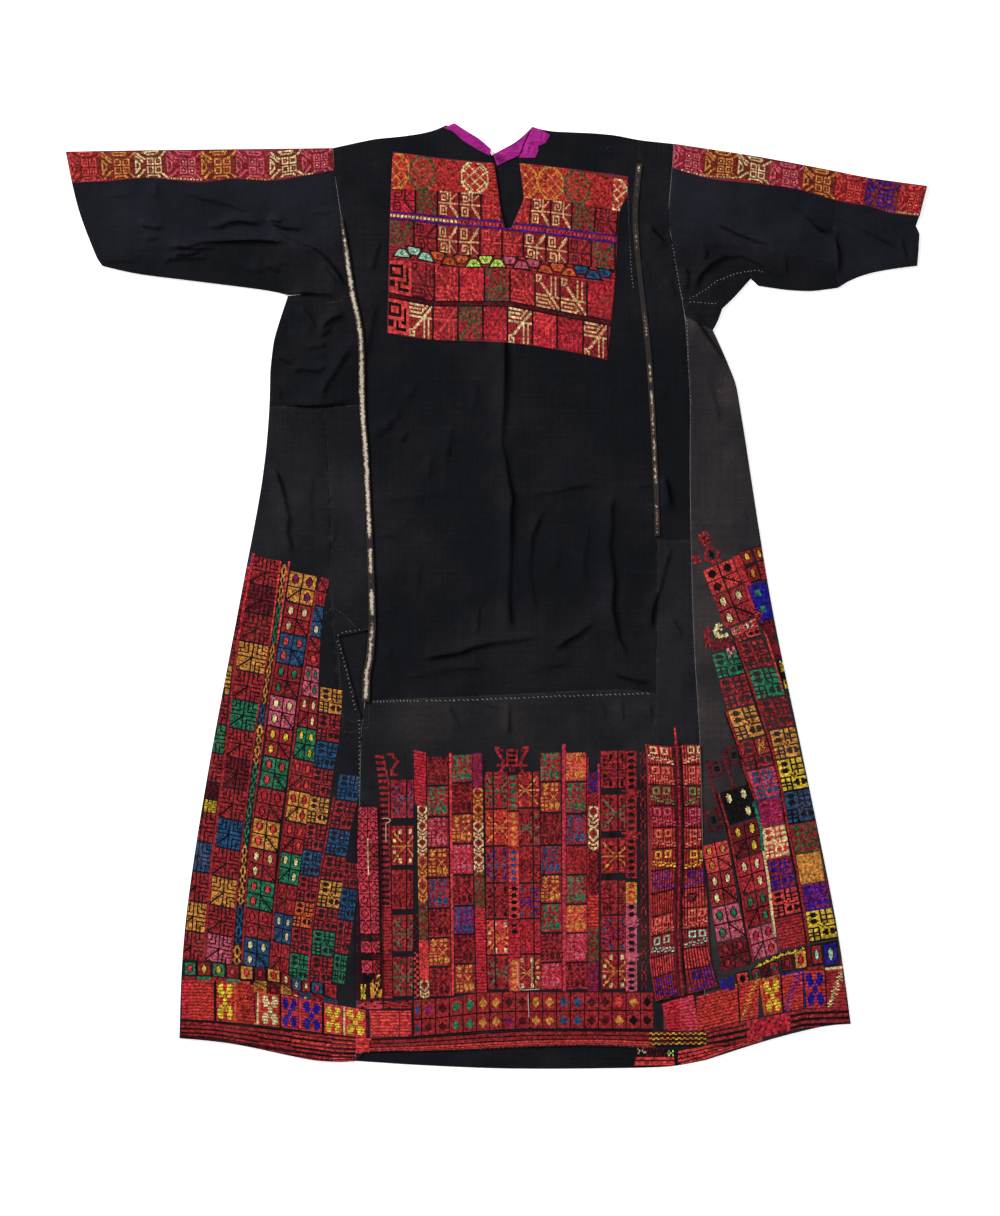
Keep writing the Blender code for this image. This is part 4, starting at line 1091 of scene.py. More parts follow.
for start, stop, count, pattern, threads in (
        (179.5, 258, 6, "kkrrrkrrrkkrrrkkrrkhkhkk", "red red maroon"),
        (258, 292, 3, "kkrrrkkrrrkkrrkrrrkhkrkh", "red red maroon"),
        (292, 332, 3, "krrkfrkkffrkrfkkrrkkrrkr", "red coral"),
        (332, 356, 2, "kfrkkfrkffrkkfrkkhrkhrhrk", "coral red maroon"),
        (356, 371, 1, "rrrrfrrrfrrr.......", "coral red")):
    row_of(work, "179,1019.5 213,1021 258,1026 300,1031 335,1035 371,1038.5",
           "179,1040 213,1041.5 258,1050.5 300,1057.5 330,1062 371,1062", (start, stop),
           [(lines_of(pattern, 9), threads)] * count)
embroidery("stitches_hem_left", work, "gore_left side_strip_left front_lower", 13)

rose_cotton = cotton("rose_patch_cotton", dye(112, 34, 42), dye(140, 50, 58))
wine_cotton = cotton("wine_patch_cotton", dye(36, 17, 24), dye(56, 24, 32))
cloth("patch_rose_left", "pink_patch", wine_cotton, front_rise, 4.0, kept_down=0.5)
cloth("patch_coral_left", "hem_patch_left", rose_cotton, front_rise, 4.0, kept_down=0.5)
work = []
ROSE_LEFT = "357.5,805 356,850 360,905 361,940 363,985"
ROSE_MIDDLE = "367.5,805 367,850 370,905 371,940 373,985"
ROSE_RIGHT = "378.5,805 379.5,850 380,905 380.5,940 381,985"
ROSE_CUTS = (807, 819, 831, 844, 857, 870, 882, 894, 907, 921, 934, 941, 953, 960, 974, 983)
column(work, ROSE_LEFT, ROSE_MIDDLE, ROSE_CUTS, tiles("ring", "rose*10,,rose,,rose,"), 0.05, 0)
column(work, shifted(ROSE_MIDDLE, 1), ROSE_RIGHT, ROSE_CUTS,
       tiles("ring half", "rose*3,red*2,rose*5,,rose,,red,"), 0.05, 0)
for top, foot in ((935, 940), (954, 959), (975, 982)):
    column(work, ROSE_LEFT, shifted(ROSE_MIDDLE, 1), (top, foot), tiles("plain", "black"), 0.05, 0)
    column(work, shifted(ROSE_MIDDLE, 1), ROSE_RIGHT, (top, foot), tiles("plain", "maroon"), 0.05, 0)
set_each(work, """
    bits:x yellow 361,984 366,984 361,999 366,999
    bits:x gold 370,982 380,972 371,998 383,997
    darned:rose coral black 358,999 382,999 358,1008 383,1009
    darned:red coral black 384,1001 412,1000 384,1008 412,1008
    plain:cream 367.4,838 368.8,838 367.8,875 369.2,875""")
embroidery("stitches_patch_rose", work, "pink_patch front_lower side_strip_left", 14)
work = []
for start in (369.5, 377, 388, 400):
    set_in(work, "plain", "coral", (start, 1009.5), (start + 11, 1009.5), (start, 1036), (start + 11, 1036))
embroidery("stitches_patch_coral", work, "hem_patch_left", 15)

# ---------------------------------------------------------------- Striped patch
# Two strips of finely striped red work, each row with a pair of small squares over a dotted
# chevron, are joined by a dark band with a red rope and sewn over the right front seam.


def twin(cols, squares, falls):
    """A row of the striped work: red stripes, small squares and a double dotted line under them."""
    rows = [["rh"[col % 2] for col in range(cols)] for _row in range(14)]
    for start in squares:
        for row in range(5):
            for col in range(min(5, cols - start)):
                if row in (0, 4) or col in (0, 4):
                    rows[1 + row][start + col] = "f"
    for col in range(1, cols):
        for row in (0, 2):
            if (col + row // 2) % 3:
                rows[int(7.2 + row + 3.4 * (col if falls else cols - col) / cols)][col] = "f"
    return ["".join(row) for row in rows[:13]] + ["k" * cols]


CHARTS["twin wide"], CHARTS["twin narrow"] = twin(20, (3, 11), True), twin(13, (4, 11), False)
CHARTS["twin"] = twin(17, (4, 11), False)
CHARTS["stripes wide"] = ["rh" * 10] * 13 + ["k" * 20]
CHARTS["stripes"] = ["rh" * 8 + "r"] * 13 + ["k" * 17]
CHARTS["ringed"] = "kkkk kffk kffk kkkk".split()
cloth("patch_striped_right", "striped_patch", rose_cotton, front_rise, 4.0, kept_down=0.5)
work = []
column(work, "645,743 648,765 649,800 652,825 651.5,850 650,905 652,920 649.5,960 652,980 656,1003",
       "672,743 674,770 675,800 676,850 675,880 673,910 674,935 674,960 678,995",
       (744, 764.5, 785, 806, 828.5, 850, 872, 895, 918, 937, 959, 979, 1003),
       tiles("twin wide", "coral cream maroon,coral peach maroon,red leaf maroon,crimson pink maroon,"
             "madder peach maroon,madder yellow maroon,madder royal maroon,stripes wide:madder red maroon,"
             "coral peach maroon,red aqua maroon,stripes wide:coral red maroon,red royal maroon"),
       (0.12, 0.06, 0.04, 0, -0.06, -0.1, -0.16, -0.24, -0.28, -0.24, -0.26, -0.34, -0.38), 0)
column(work, "681.5,745 683,765 684,800 684,850 683,870", "699.5,745 701,800 703,850 705,870",
       (745, 765, 786, 807, 828, 849, 870),
       tiles("twin narrow", "coral cream maroon,coral peach maroon,red leaf maroon,crimson pink maroon,"
             "madder peach maroon,madder yellow maroon"), -0.02, 0)
column(work, "683,870 682,900 682.5,930 683.5,950 686,975 690,995",
       "705,870 707,900 707.5,930 707,950 713,970 719,992", (870, 889, 909, 930, 949, 970, 995),
       tiles("twin", "madder royal maroon,stripes:coral red maroon,coral peach maroon,red aqua maroon,"
             "stripes:coral red maroon,red royal maroon"), (-0.08, -0.1, -0.1, -0.1, -0.1, -0.16, -0.22), 0)
set_each(work, "ringed:pink pink 687,893 696,892 687,902 696,901")
ROPE = "674,732 676,760 678,800 678.5,850 677,900 677,950 680,985 682,1000"
for start, stop, threads in ((-2.6, 0.4, "maroon"), (0.4, 2.2, "red"), (2.2, 4, "maroon"),
                             (4, 6.2, "black")):
    column(work, shifted(ROPE, start), shifted(ROPE, stop), (742, 998), [("plain", threads)] * 8, 0, 0)
column(work, "673.6,726 675,745", "675.4,726 677,745", (727, 745), tiles("plain", "coral"), 0, 0)
embroidery("stitches_patch_striped", work, "striped_patch front_lower side_strip_right", 16)

# ---------------------------------------------------------------- Right gore and right hem
# The right gore is worked in leaning columns like the left one, in more colours and with
# narrow piped edges. The hem below it carries the same band of blocks, over plain lines, two
# patches and a strip of yellow zigzags.

cloth("patch_crimson_right", "hem_patch_right", rose_cotton, front_rise, 4.0, kept_down=0.5)
cloth("strip_zigzag_right", "zigzag_strip_right", black_cotton, front_rise, 4.0, kept_down=0.5)
CHARTS["two windows"] = [row.replace(".", "f") for row in CHARTS["windows"]]
CHARTS["half ladder"] = "rrrrrr rfffrr rffffr rfffrr rrrrrr".split()
CHARTS["crossed"] = ".rr.rr. rrrrrrr rr.k.rr .rrrrr. rrkrkrr .rr.rr.".split()
CHARTS["bud"] = """...rrr.... ..rrrrr... .rr.k.rr.. rr..kk.rr. r..kkk..r. rr..kk..rr .rr.k..rr. ..rrrrrr..
    ...rr.rr.. ..rr...rr.""".split()
CHARTS["cee"] = "...ff. ..ffff .fff.. .ff.f. .ff... .fff.. ..ffff ...fff".split()
CHARTS["saltire"] = "f.f .f. f.f".split()
CHARTS["barred"] = ["rrffrrrr" if row in (3, 4, 5, 11, 12, 13) else "rrrrrrrr" for row in range(18)]
CHARTS["eyelet"] = "rrrrrr r....r r.kk.r r.kk.r r....r rrrrrr".split()
CHARTS["teeth"] = "kkkfkkk kfffffk fffffff".split()
CHARTS["slant"] = [row[::-1] for row in slanted(10)]
CHARTS["crown"] = "f...f. .f.f.. f...ff".split()
CHARTS["spots"] = ".f..f. f.ff.. .f..f.".split()
CHARTS["ridges"] = ["rkrkrkrkrkrk"] * 3 + ["rrkrrkrkrrkr"] * 2
CHARTS["zigzag"] = "rrrrrrrr ffrrffrr rrffrrff kkkkkkkk".split() * 3
work = []
PART_LEFT = path("""703,571 713,596 723,627 737,640 749,672 758,702 770,732 777,762 784,794 789,826 796,856
    801,886 806,913 810,943""")
PART_RIGHT = """731,558 742,584 754,612 760,636 775,668 786,697 795,728 801,758 809,790 816,822
    820,852 825,883 831,908 838,936"""
column(work, PART_LEFT, PART_RIGHT, (571, 597, 630), tiles("squares", "coral black,red cream"), -0.42)
set_each(work, """
    two windows:coral black 730,629 755,618 739,642 761,635
    bits:x cream 731,630 740,626 733,635 742,631
    bits:x white 743,625 752,620 745,630 754,626
    cee:x cream 709,627 721,622 715,643 729,636""")
column(work, PART_LEFT, PART_RIGHT, (643, 671, 701, 731, 761, 793, 825, 855, 885, 912, 943),
       tiles("two windows", "windows:red,windows:green,windows:brick,windows:gold,yellow black,blue black,"
             "brick moss,gold gold,purple royal,yellow black"), -0.17)
SECOND_LEFT = path("""712,655 719,680 728,712 739,742 747,774 758,802 762,830 766,862 771,893 775,920
    779,952""")
column(work, SECOND_LEFT, """735,646 744,670 753,703 764,732 774,764 781,796 785,826 790,856 796,887
       801,914 806,944""", (655, 680, 711, 742, 772, 801, 829, 861, 892, 919, 951),
       tiles("two windows", "windows:green,windows:red,windows:gold,windows:red,rose blue,purple crimson,"
             "cream coral,brick royal,coral black,plain:red"), -0.22)
set_each(work, """
    saltire:x pink 726,649 734,646 729,659 737,656
    bits:x gold 757,739 764,737 759,754 767,752""")
THIRD_LEFT = path("720,793 730,827 737,862 744,897 749,931 755,963")
column(work, THIRD_LEFT, "748,784 757,817 761,852 767,888 772,921 778,952", (793, 827, 861, 896, 930, 962),
       tiles("squares left", "black cream,wine yellow,crimson cream,brick green,pink crimson"), -0.33)
column(work, "702,846 708,875 712,910 718,945 722,974", "727,840 732,868 738,903 745,936 750,964",
       (846, 875, 909, 944, 973), tiles("squares", "coral gold,red cream,pink green,wine red"), -0.24)
set_each(work, """
    one:brick yellow 738,552 750,548 744,566 756,562
    one:brick yellow 751,548 762,545 757,562 766,560
    one:brick gold 744,568 757,563 749,583 762,580
    plain:brick 758,562 767,561 762,580 769,579
    barred:royal green 747,586 768,581 760,622 778,617
    half ladder:maroon wine 759,623 775,618 769,640 780,636
    half ladder:maroon wine 768,642 780,638 776,659 784,655
    plain:black 776,660 785,657 783,690 791,688
    bits:x yellow 779,661 783,660 781,672 785,671
    bits:x yellow 783,679 787,678 785,689 789,688
    bits:x cream 789,696 793,695 792,706 796,705""")
column(work, "732,557 743,583 757,622 770,650 777,675 788,705",
       "740,554 750,581 764,619 773,648 780,674 791,704", (557, 569, 583, 596, 609, 622),
       tiles("two windows", "crimson coral,coral crimson,crimson coral,coral crimson,coral black"), -0.35)
for start, stop, threads in ((-4.6, -2.8, "black"), (-2.8, -0.6, "red")):
    for line, ends, count in ((PART_LEFT[3:], (640, 943), 8), (SECOND_LEFT[2:6], (712, 800), 3),
                              (THIRD_LEFT, (793, 962), 5)):
        column(work, shifted(line, start), shifted(line, stop), ends, [("plain", threads)] * count, 0, 0)
column(work, "757,612 770,650 782,690", "759,612 772,650 784,690", (612, 640, 690),
       tiles("plain", "coral*2"), 0, 0)
EDGE = path("788,690 795,715 803,760 812,800 820,845 828,890 837,925 842,960")
for (x, y), (end_x, end_y), threads in zip(EDGE, EDGE[1:], ("crimson", "red", "brick") * 3):
    set_in(work, "plain", threads, (x, y), (x + 3.4, y), (end_x, end_y), (end_x + 3.4, end_y))
column(work, "751,801 757,815 760,830 761,850", "754.5,800 760,813 762.5,829 763.5,850", (802, 828, 850),
       tiles("plain", "green*2"), 0, 0)
column(work, "762,850 767,880 770,910 774,938", "764.5,850 769.5,880 773,910 776.5,938",
       (851, 880, 910, 937), tiles("plain", "cream*3"), 0, 0)
for x, y, wide, high in ((724, 748, 14, 18), (707, 764, 15, 14), (703, 812, 14, 20)):
    set_in(work, "eyelet", "maroon", (x, y), (x + wide, y - wide * 0.3), (x + high * 0.3, y + high),
           (x + wide + high * 0.3, y + high - wide * 0.3))
for line in (path("706,760 712,790 720,822"), path("722,752 729,775 733,790")):
    column(work, line, shifted(line, 2.4), [down for _right, down in line], tiles("plain", "wine*2"), 0, 0)
set_each(work, """
    crossed:red 697,536 706,530 703,548 712,541
    bud:red 701,549 715,542 709,570 724,560
    bits:x red 691,556 699,555 694,564 702,562
    bits:x red 703,628 709,626 706,648 713,645
    windows:brick 710,641 731,635 713,653 734,646""")
embroidery("stitches_gore_right", work, "gore_right side_strip_right", 17)

work = []
for chart, threads, x, y, wide, high in (
        ("bits", "cream royal", 720, 979, 13, 12), ("one", "coral black", 735, 973, 13, 13),
        ("one", "brick green", 751, 969, 9, 13), ("one", "maroon wine", 761, 964, 7, 13),
        ("one", "red teal", 769, 962, 9, 14), ("one", "wine red", 780, 956, 12, 16),
        ("one", "gold crimson", 793, 951, 13, 19), ("one", "red aqua", 810, 945, 11, 21),
        ("one", "royal aqua", 822, 943, 15, 24)):
    set_in(work, chart, threads, (x, y), (x + wide, y - wide * 0.2), (x + 2, y + high),
           (x + wide + 2, y + high - 2))
set_each(work, """
    plain:brick 807,967 824,965.5 807,970 824,969
    plain:wine 805.5,946 809,945 808,966 811.5,965
    plain:red 838.5,940 841.5,939 841,966 844,966""")
row_of(work, "755,965 779,953 806,946", "756,968 780,956.5 806,950", (755, 806), tiles("teeth", "x yellow*7"))
TOP = "696,997 735,986 757,981 780,976 804,971 825,970 845,968"
LOW = "697,1031 738,1021 762,1016 785,1011 806,1007.5 848,1006.5"
row_of(work, shifted(TOP, 0, -2), TOP, (735, 757, 780, 804), tiles("bits", "x gold*2,plain:royal"))
row_of(work, shifted(TOP, 0, -2.4), TOP, (825, 844), tiles("plain", "cream"))
row_of(work, TOP, LOW, "696,698 737,739 738.5,740.5 759,758",
       tiles("plain", "madder,black,slant:madder gold"))
row_of(work, TOP, LOW, "759,764 761,766 780,782 781.6,784 802,803",
       tiles("plain", "orange,blocks:madder yellow,black,slant:madder royal"))
row_of(work, TOP, LOW, "802,805 803.6,806.6 824,826 825.4,827.4 846,849",
       tiles("plain", "royal,blocks:madder royal,black,slant:red cream"))
LINES = ("699,1032 738,1022 762,1018 785,1013 806,1008.5 850,1007",
         "699,1050 738,1045 762,1037 785,1032 806,1027 852,1026.5")
row_of(work, *LINES, (706, 719, 732, 747), [(lines_of("rrkrrkkrrkkrrk", 9), "red")] * 3)
row_of(work, *LINES, (747, 761, 776, 790), tiles("darned", "crimson x wine*3"))
row_of(work, *LINES, (790, 804, 820, 836, 850), [(lines_of("rrkkrrkkrrkkr", 9), "red")] * 4)
for x, y, low, low_right in ((678, 1051, 1067, 1061), (699, 1047, 1061, 1053), (720, 1044, 1053, 1046),
                             (741, 1040, 1046, 1041)):
    set_in(work, lines_of("rrkrrkrrkrr", 14), "coral", (x, y), (x + 21, y - 4), (x, low), (x + 21, low_right))
CHARTS["end lines"] = lines_of("rrkrrrkr", 20)
set_each(work, """
    end lines:coral 636,1057 674,1057 634,1068 675,1068
    ridges:maroon 646,1048 666,1048 646,1056 666,1056
    crown:x straw 637,1048 646,1047 638,1054 646,1053
    spots:x lime 667,1050 675,1050 667,1056 675,1056
    plain:crimson 662,1004 678,998 668,1030 682,1031
    plain:rose 678,999 693,994 682,1031 699,1031""")
row_of(work, "649,1031 706,1031", "649,1046 706,1045", (649, 706),
       tiles("zigzag", "maroon yellow,maroon gold,maroon yellow,maroon gold,maroon yellow"))
embroidery("stitches_hem_right", work, "gore_right front_lower hem_patch_right zigzag_strip_right "
           "striped_patch side_strip_right back_centre", 18)

# ---------------------------------------------------------------- Chest panel
# A square of older embroidery on red cotton is sewn under the neck and slit down the middle.
# Rosettes stand in its top row, blocks with hooked branches under them, and a blue-edged
# ribbon, a row of small trapezes and a double line run across from side to side.


def rosette(cols=18, rows=22):
    """An oval ring with a lattice of little diamonds inside."""
    made = []
    for row in range(rows):
        line = ""
        for col in range(cols):
            far = math.hypot((col - cols / 2 + 0.5) / (cols / 2), (row - rows / 2 + 0.5) / (rows / 2))
            lattice = (row + col) % 7 == 1 or (row - col) % 7 == 5
            line += "f" if 0.88 < far < 1.05 or far < 0.8 and lattice else "r"
        made.append(line)
    return made


CHARTS["rosette"] = rosette()
CHARTS["rosette half"] = [row[6:] for row in rosette()]
CHARTS["branch"] = """rffffffrfrrrrrk rrrrrrfrfrrrfrk rrfffrfrfrrfrrk rrfrfrfrfrfrrrk rrfrrrfrffrrrrk
    rrffffrrfrrrrrk rrrrrrrrfrrrrrk ffffffffffffffk rrrrrrrrfrrrrrk rfffffrrffrrrrk rfrrrfrrrffrrrk
    rfrfrfrrrrffrrk rfrfrfrrrrfffrk rfrrrfrrrrrffrk rfffffrrrrrrffk rrrrrrrrrrrrrfk""".split()
CHARTS["branch low"] = CHARTS["branch"][::-1]
CHARTS["rake"] = """ffffrrrrrrfrrfrrk frrfrrrrrrfrrfrrk frffrrrrrrfrrfrrk fffrrrrrrrfrrfrrk rrrffrrrrrfrrfrrk
    rrrrffrrrrfrrfrrk rrrrrffrrrfrrfrrk rrrrrrffrrfrrfrrk rrrrrrrffrfrrfrrk rrrrrrrrfffrrfrrk
    ffffffffffffffffk rrrrrrrrrrffrrrrk fffffffffrrffrrrk frrrrrrrrfrrffrrk ffffffffrffrrffrk
    rrrrrrrrrrffrrffk ffffffffffrrfrrfk""".split()
CHARTS["rake low"] = CHARTS["rake"][::-1]
CHARTS["trapeze"] = """kkkkkkkkkkk kkfffffffkk kfffffffffk kffffkffffk kfffkfkfffk kffffkffffk kfffffffffk
    kkkkkkkkkkk""".split()
CHARTS["dots"] = ("rffrffrff",)
CHARTS["block"] = """rrrrrrrrr rkkkkkrrr rkrrrkrkr rkrrrkrkr rkkkkkrkr rrrrrrrkr rkkrkrkkr rkkrkrrrr
    rrrrkkkkr rrrrrrrrr""".split()
cloth("panel_chest", "chest_panel", rose_cotton, front_rise, 4.2, kept_down=0.5)
ROW_A = "388,189 440,191 490,195 506,196"
ROW_A_RIGHT = "510,197 524,198 560,201 600,208 628,213"
RIBBON = "386,211 420,214 445,217 500,221 512,223 545,226 580,231 622,236.5"
ROW_B = "384,244 415,247 437,252 460,256 505,256 527,258 550,263 570,265 590,267 620,271.5"
ROW_C = "384,261 412,262 435,266 460,268 485,268 512,270 535,274 560,278 590,283 620,286"
ROW_D = "384,291 412,297 435,301 510,301 535,306 560,311 587,316 616,321.5"
work = []
row_of(work, "391,153 420,156 445,158.5 493,163.5 500,164", ROW_A,
       "393,391 410,409 436,435 461,461 488,489 497,500",
       tiles("rosette", "rosette half:madder gold,madder moss,madder brick,madder cream,plain:madder"))
row_of(work, "518,163.5 570,169.5 628,181.5", ROW_A_RIGHT, "520,523 537,538 564,563 590,590 614,612 629,627",
       tiles("rosette", "rosette half:madder gold,madder gold,madder moss,madder brick,"
             "rosette half:madder cream"))
row_of(work, ROW_A, RIBBON, (391, 416.5, 438.5, 460, 482, 502),
       tiles("branch", "crimson maroon,brick moss,brick straw*2,red coral"), 0.4)
row_of(work, ROW_A_RIGHT, RIBBON, "522,513 532,530 552,551 573,572 597,595 619,617",
       tiles("branch", "red coral,brick straw*2,brick moss,red maroon"), 0.4)
for drop, below, listed in ((0, 1.7, "plain:royal*9"), (1.7, 3.0, "plain:red*9"),
                            (3.0, 5.4, "dots:maroon cream*6,dots:maroon rose*14"),
                            (5.4, 6.6, "plain:red*9"), (6.6, 8.3, "plain:royal*9")):
    row_of(work, shifted(RIBBON, 0, drop), shifted(RIBBON, 0, below), (388, 618), tiles("", listed))
row_of(work, shifted(RIBBON, 0, 8.6), ROW_B, (389, 415, 438, 459, 481, 503, 524.5, 547, 569, 592, 616),
       tiles("branch low", "brick moss,red maroon,brick straw*2,red coral,brick coral,brick straw*2,"
             "red maroon,red moss"), 0.4)
row_of(work, shifted(ROW_B, 0, -0.4), ROW_C, (385, 401, 440, 480, 520, 560, 615), tiles("plain", "red*6"))
row_of(work, ROW_C, ROW_D, (387, 412, 435.5, 460, 485.5, 511, 536, 561, 588, 616),
       tiles("rake", "block:coral black,red maroon,red coral,crimson coral,red moss,red coral,"
             "brick straw*2,crimson brick"), 0.4)
for drop, below, threads in ((0, 1.3, "black"), (1.3, 4.7, "maroon"), (4.7, 6, "black")):
    row_of(work, shifted(ROW_D, 0, drop), shifted(ROW_D, 0, below), (386, 612), [("plain", threads)] * 9)
row_of(work, shifted(ROW_D, 0, 6),
       "384,332 410,336 433,340 460,341 509,343 535,345 558,350 583,356 610,361.5",
       (386, 409.5, 434, 459, 484, 508.5, 533.5, 558, 584, 608.5),
       tiles("rake low", "block:coral,red cream,red coral,red moss,crimson brick,red cream,crimson coral,"
             "crimson brick,brick straw"), 0.4)
embroidery("stitches_chest_panel", work, "chest_panel", 19)
work = []
for number in range(18):
    middle, lean, drop = 402 + 11.95 * number, 3.2 - 6.4 * (number % 2), 3.2 - 3.2 * (number % 2)
    row_of(work, shifted(ROW_B, 0, drop - 0.6), shifted(ROW_B, 0, drop + 8.9),
           ((middle - 6.6 + lean, middle - 6.6 - lean), (middle + 7 - lean, middle + 7 + lean)),
           [("trapeze", "red " + ("aqua", "rust", "lime", "pink", "orange", "blue")[number // 3])], 0.4)
embroidery("stitches_chest_trapezes", work, "chest_panel", 22, raised=0.6)

# ---------------------------------------------------------------- Sleeve bands
# A narrow band of coral work lies along the fold of each sleeve from the shoulder to the cuff:
# a leaning hexagon and four little squares, again and again, in changing threads.

CHARTS["sleeve"] = """ffrrrrffffffffffffrrrrrf rffrrrrffrrrrrrrffrrrrff frffrrrrfffffffffrrrrffr
    ffrffrrrrrrrrrrrrrrrffrr rrffrffrrrrrrrrrrrffrrrr frrffrffrfffffrfffffrrrr ffrrffrrrfrrrfrfrrrfrrrr
    fffrrffrrfrhrfrfrhrfrrrr frffrrrrrfrrrfrfrrrfrrrr frrfrrrrrfffffrfffffrrrr frrfrrrrrrrrrrrrrrrrrrrr
    frrfrrrrrfffffrfffffrrrr frffrrrrrfrrrfrfrrrfrrrr fffrrrffrfrhrfrfrhrfrrrr ffrrrffrrfrrrfrfrrrfrrrr
    frrrffrrrfffffrfffffrrrr rrrffrrrrrrrrrrrrrrrffrr rrffrrrrrfffffffffrrrffr rffrrrrrffrrrrrrrffrrrff
    hrhrhhrhrhrhhrhrhrhrhhrh""".split()
cloth("band_sleeve_left", "sleeve_band_left", rose_cotton, front_rise, 4.2, kept_down=0.5)
cloth("band_sleeve_right", "sleeve_band_right", rose_cotton, front_rise, 4.2, kept_down=0.5)
work = []
row_of(work, "66,151.5 100,152 140,152.5 160,149.5 200,152 235,150.5 270,152.5 285,149 300,149.5 334,147",
       "70,183.5 100,181 140,179 160,178 180,181 205,181 235,179 262,181 285,180 300,176 334,172",
       "68,72 101,103 135,136 166,168 201,202 236,237 270,270 301,303 333,333",
       tiles("sleeve", "clay coral pink,clay gold coral,clay cream pink,brick pink cream,clay gold rose,"
             "brick pink gold,clay cream pink,brick pink cream"))
embroidery("stitches_band_left", work, "sleeve_band_left", 20)
work = []
row_of(work, "674,143.5 700,148 735,153 770,161 800,166 840,173 870,178 900,185 928,186",
       "670,168 690,173 710,178.5 735,178.5 750,183 790,190 830,200 870,210 921,216",
       "675,672 706,704 739,737 771,769 804,802 837,834 868,863 901,896 928,920",
       tiles("sleeve", "brick pink cream,clay gold cream,clay cream coral,brick pink cream,clay gold pink,"
             "brick coral gold,clay royal pink,brick coral cream"))
embroidery("stitches_band_right", work, "sleeve_band_right", 21)

# ---------------------------------------------------------------- Neck bindings
# The neck edge is bound in purple satin: one strip along the wearer's right shoulder, one that
# shows from the back neck, and a wider end that is gathered and turned down at the other side.

satin, add, join = finish("purple_satin", 0.5, 0.08)
place = add("ShaderNodeTexCoord")[3]
# Painted sheen: lighter streaks run along the satin.
painted_sheen_streaks = mottle(add, place, 1.0, (60, 700, 1), 3.0)
colour = blended(add, ranged(add, painted_sheen_streaks, 0.35, 0.7), dye(146, 22, 114), dye(190, 44, 156))
# Painted shade: darker patches stand in for the shadow sides of the satin's folds.
painted_fold_shade = ranged(add, mottle(add, place, 40.0, detail=4.0), 0.5, 0.72)
colour = blended(add, painted_fold_shade, colour, dye(84, 10, 72))
# Painted shade: the satin darkens along the dark lines under the front's creases.
join("Base Color", blended(add, stored(add, "fold"), colour, dye(52, 4, 46)))
join("Normal", raised_by(add, 0.5, 0.0006, mottle(add, place, 1.0, (150, 420, 1), 4.0, 0.65)))
SATIN_FOLDS = courses("""1.6 0.8 444,127 456,131 470,140 487,152; 1.2 0.4 452,125 462,132 475,140 488,149;
    1.2 0.5 498,158 508,153 519,146; 1.8 1.0 526,141 533,142 540,144 544,141;
    1.4 0.9 523,143 522,149 520,155; 1.4 0.8 530,145 528,150 527,156; 1.4 0.9 535,146 533,151 534,156;
    1.2 0.7 540,130 541,136 540,142; 1.2 0.8 545,133 546,137 544,142""")


def satin_rise(x, y):
    """Height of the bindings: the lie of the front with small folds and gathers in the satin."""
    return front_rise(x, y) + 0.7 * np.maximum(creased(x, y, SATIN_FOLDS), -0.5)


cloth("binding_neck_back", "binding_back", satin, satin_rise, 2.0, 0.3)
cloth("binding_neck_left", "binding_left", satin, satin_rise, 2.0, 0.3, kept_down=0.3)
cloth("binding_neck_right", "binding_right", satin, satin_rise, 2.0, 0.3, kept_down=0.3)

# ---------------------------------------------------------------- Selvedge tapes
# The old selvedges of the loom cloth lie along the two long side seams as narrow cream tapes.
# The left one is nearly whole with brown frayed edges; the right one is dyed over and rubbed,
# so that only short lengths of it still show pale.

tape, add, join = finish("selvedge_tape", 0.8, 0.04)
place = add("ShaderNodeTexCoord")[3]
across = mottle(add, place, 1.0, (120, 900, 1), 3.0, 0.7)
colour = blended(add, ranged(add, across, 0.3, 0.7), dye(176, 160, 140), dye(230, 219, 198))
frayed = mottle(add, place, 210.0, detail=5.0, rough=0.7)
shown = stored(add, "shown")
frayed = reckoned(add, "MULTIPLY_ADD", frayed, 0.75, -0.38)
frayed = reckoned(add, "ADD", stored(add, "edge"), frayed)
frayed = reckoned(add, "MULTIPLY_ADD", shown, -0.3, frayed)
colour = blended(add, ranged(add, frayed, 0.5, 0.64), colour, dye(62, 50, 44))
rubbed = reckoned(add, "ADD", shown, mottle(add, place, 1.0, (420, 120, 1), 4.0, 0.7))
join("Base Color", blended(add, ranged(add, rubbed, 0.82, 1.16), dye(46, 43, 44), colour))
join("Normal", raised_by(add, 0.6, 0.0003, across))


def show_tape(made, lengths):
    """How pale the tape still shows at each place down its length, counted in squares."""
    places = np.array([vertex.co.y for vertex in made.data.vertices]) / MM
    down = MIDDLE[1] - places / SQUARE
    store(made, "shown", np.interp(down, *np.array(path(lengths)).T))


left_tape = cloth("tape_selvedge_left", "tape_left", tape, front_rise, 2.2, 0.2, 0.8)
show_tape(left_tape, """214,0.6 222,0.8 300,0.95 350,0.75 380,0.95 535,0.95 540,0.35 547,0.4 551,0.9
    570,0.8 576,0.35 588,0.35 593,0.85 612,0.8 616,0.35 624,0.4 628,0.6 660,0.62 695,0.64 706,0.4""")
right_tape = cloth("tape_selvedge_right", "tape_right", tape, front_rise, 2.2, 0.2, 0.8)
show_tape(right_tape, """160,0.6 170,0.64 176,0.42 195,0.38 224,0.42 232,0.62 245,0.56 250,0.42
    285,0.38 314,0.42 320,0.68 333,0.62 338,0.4 362,0.38 367,0.68 381,0.66 384,0.3 389,0.3 392,0.68
    432,0.66 435,0.48 439,0.5 442,0.66 483,0.72 487,0.42 503,0.42 507,0.64 528,0.62 536,0.5 544,0.35""")

# ---------------------------------------------------------------- Seams, mends and loose threads
# The pieces are joined by hand: running and whipped stitches in white cotton, a whipped facing
# round the pocket slit, mends in blue and pink, and a few threads left hanging.


def measured(line):
    """A line's places, and how far along it each one is."""
    line = np.array(path(line), float)
    return line, np.r_[0, np.cumsum(np.linalg.norm(np.diff(line, axis=0), axis=1))]


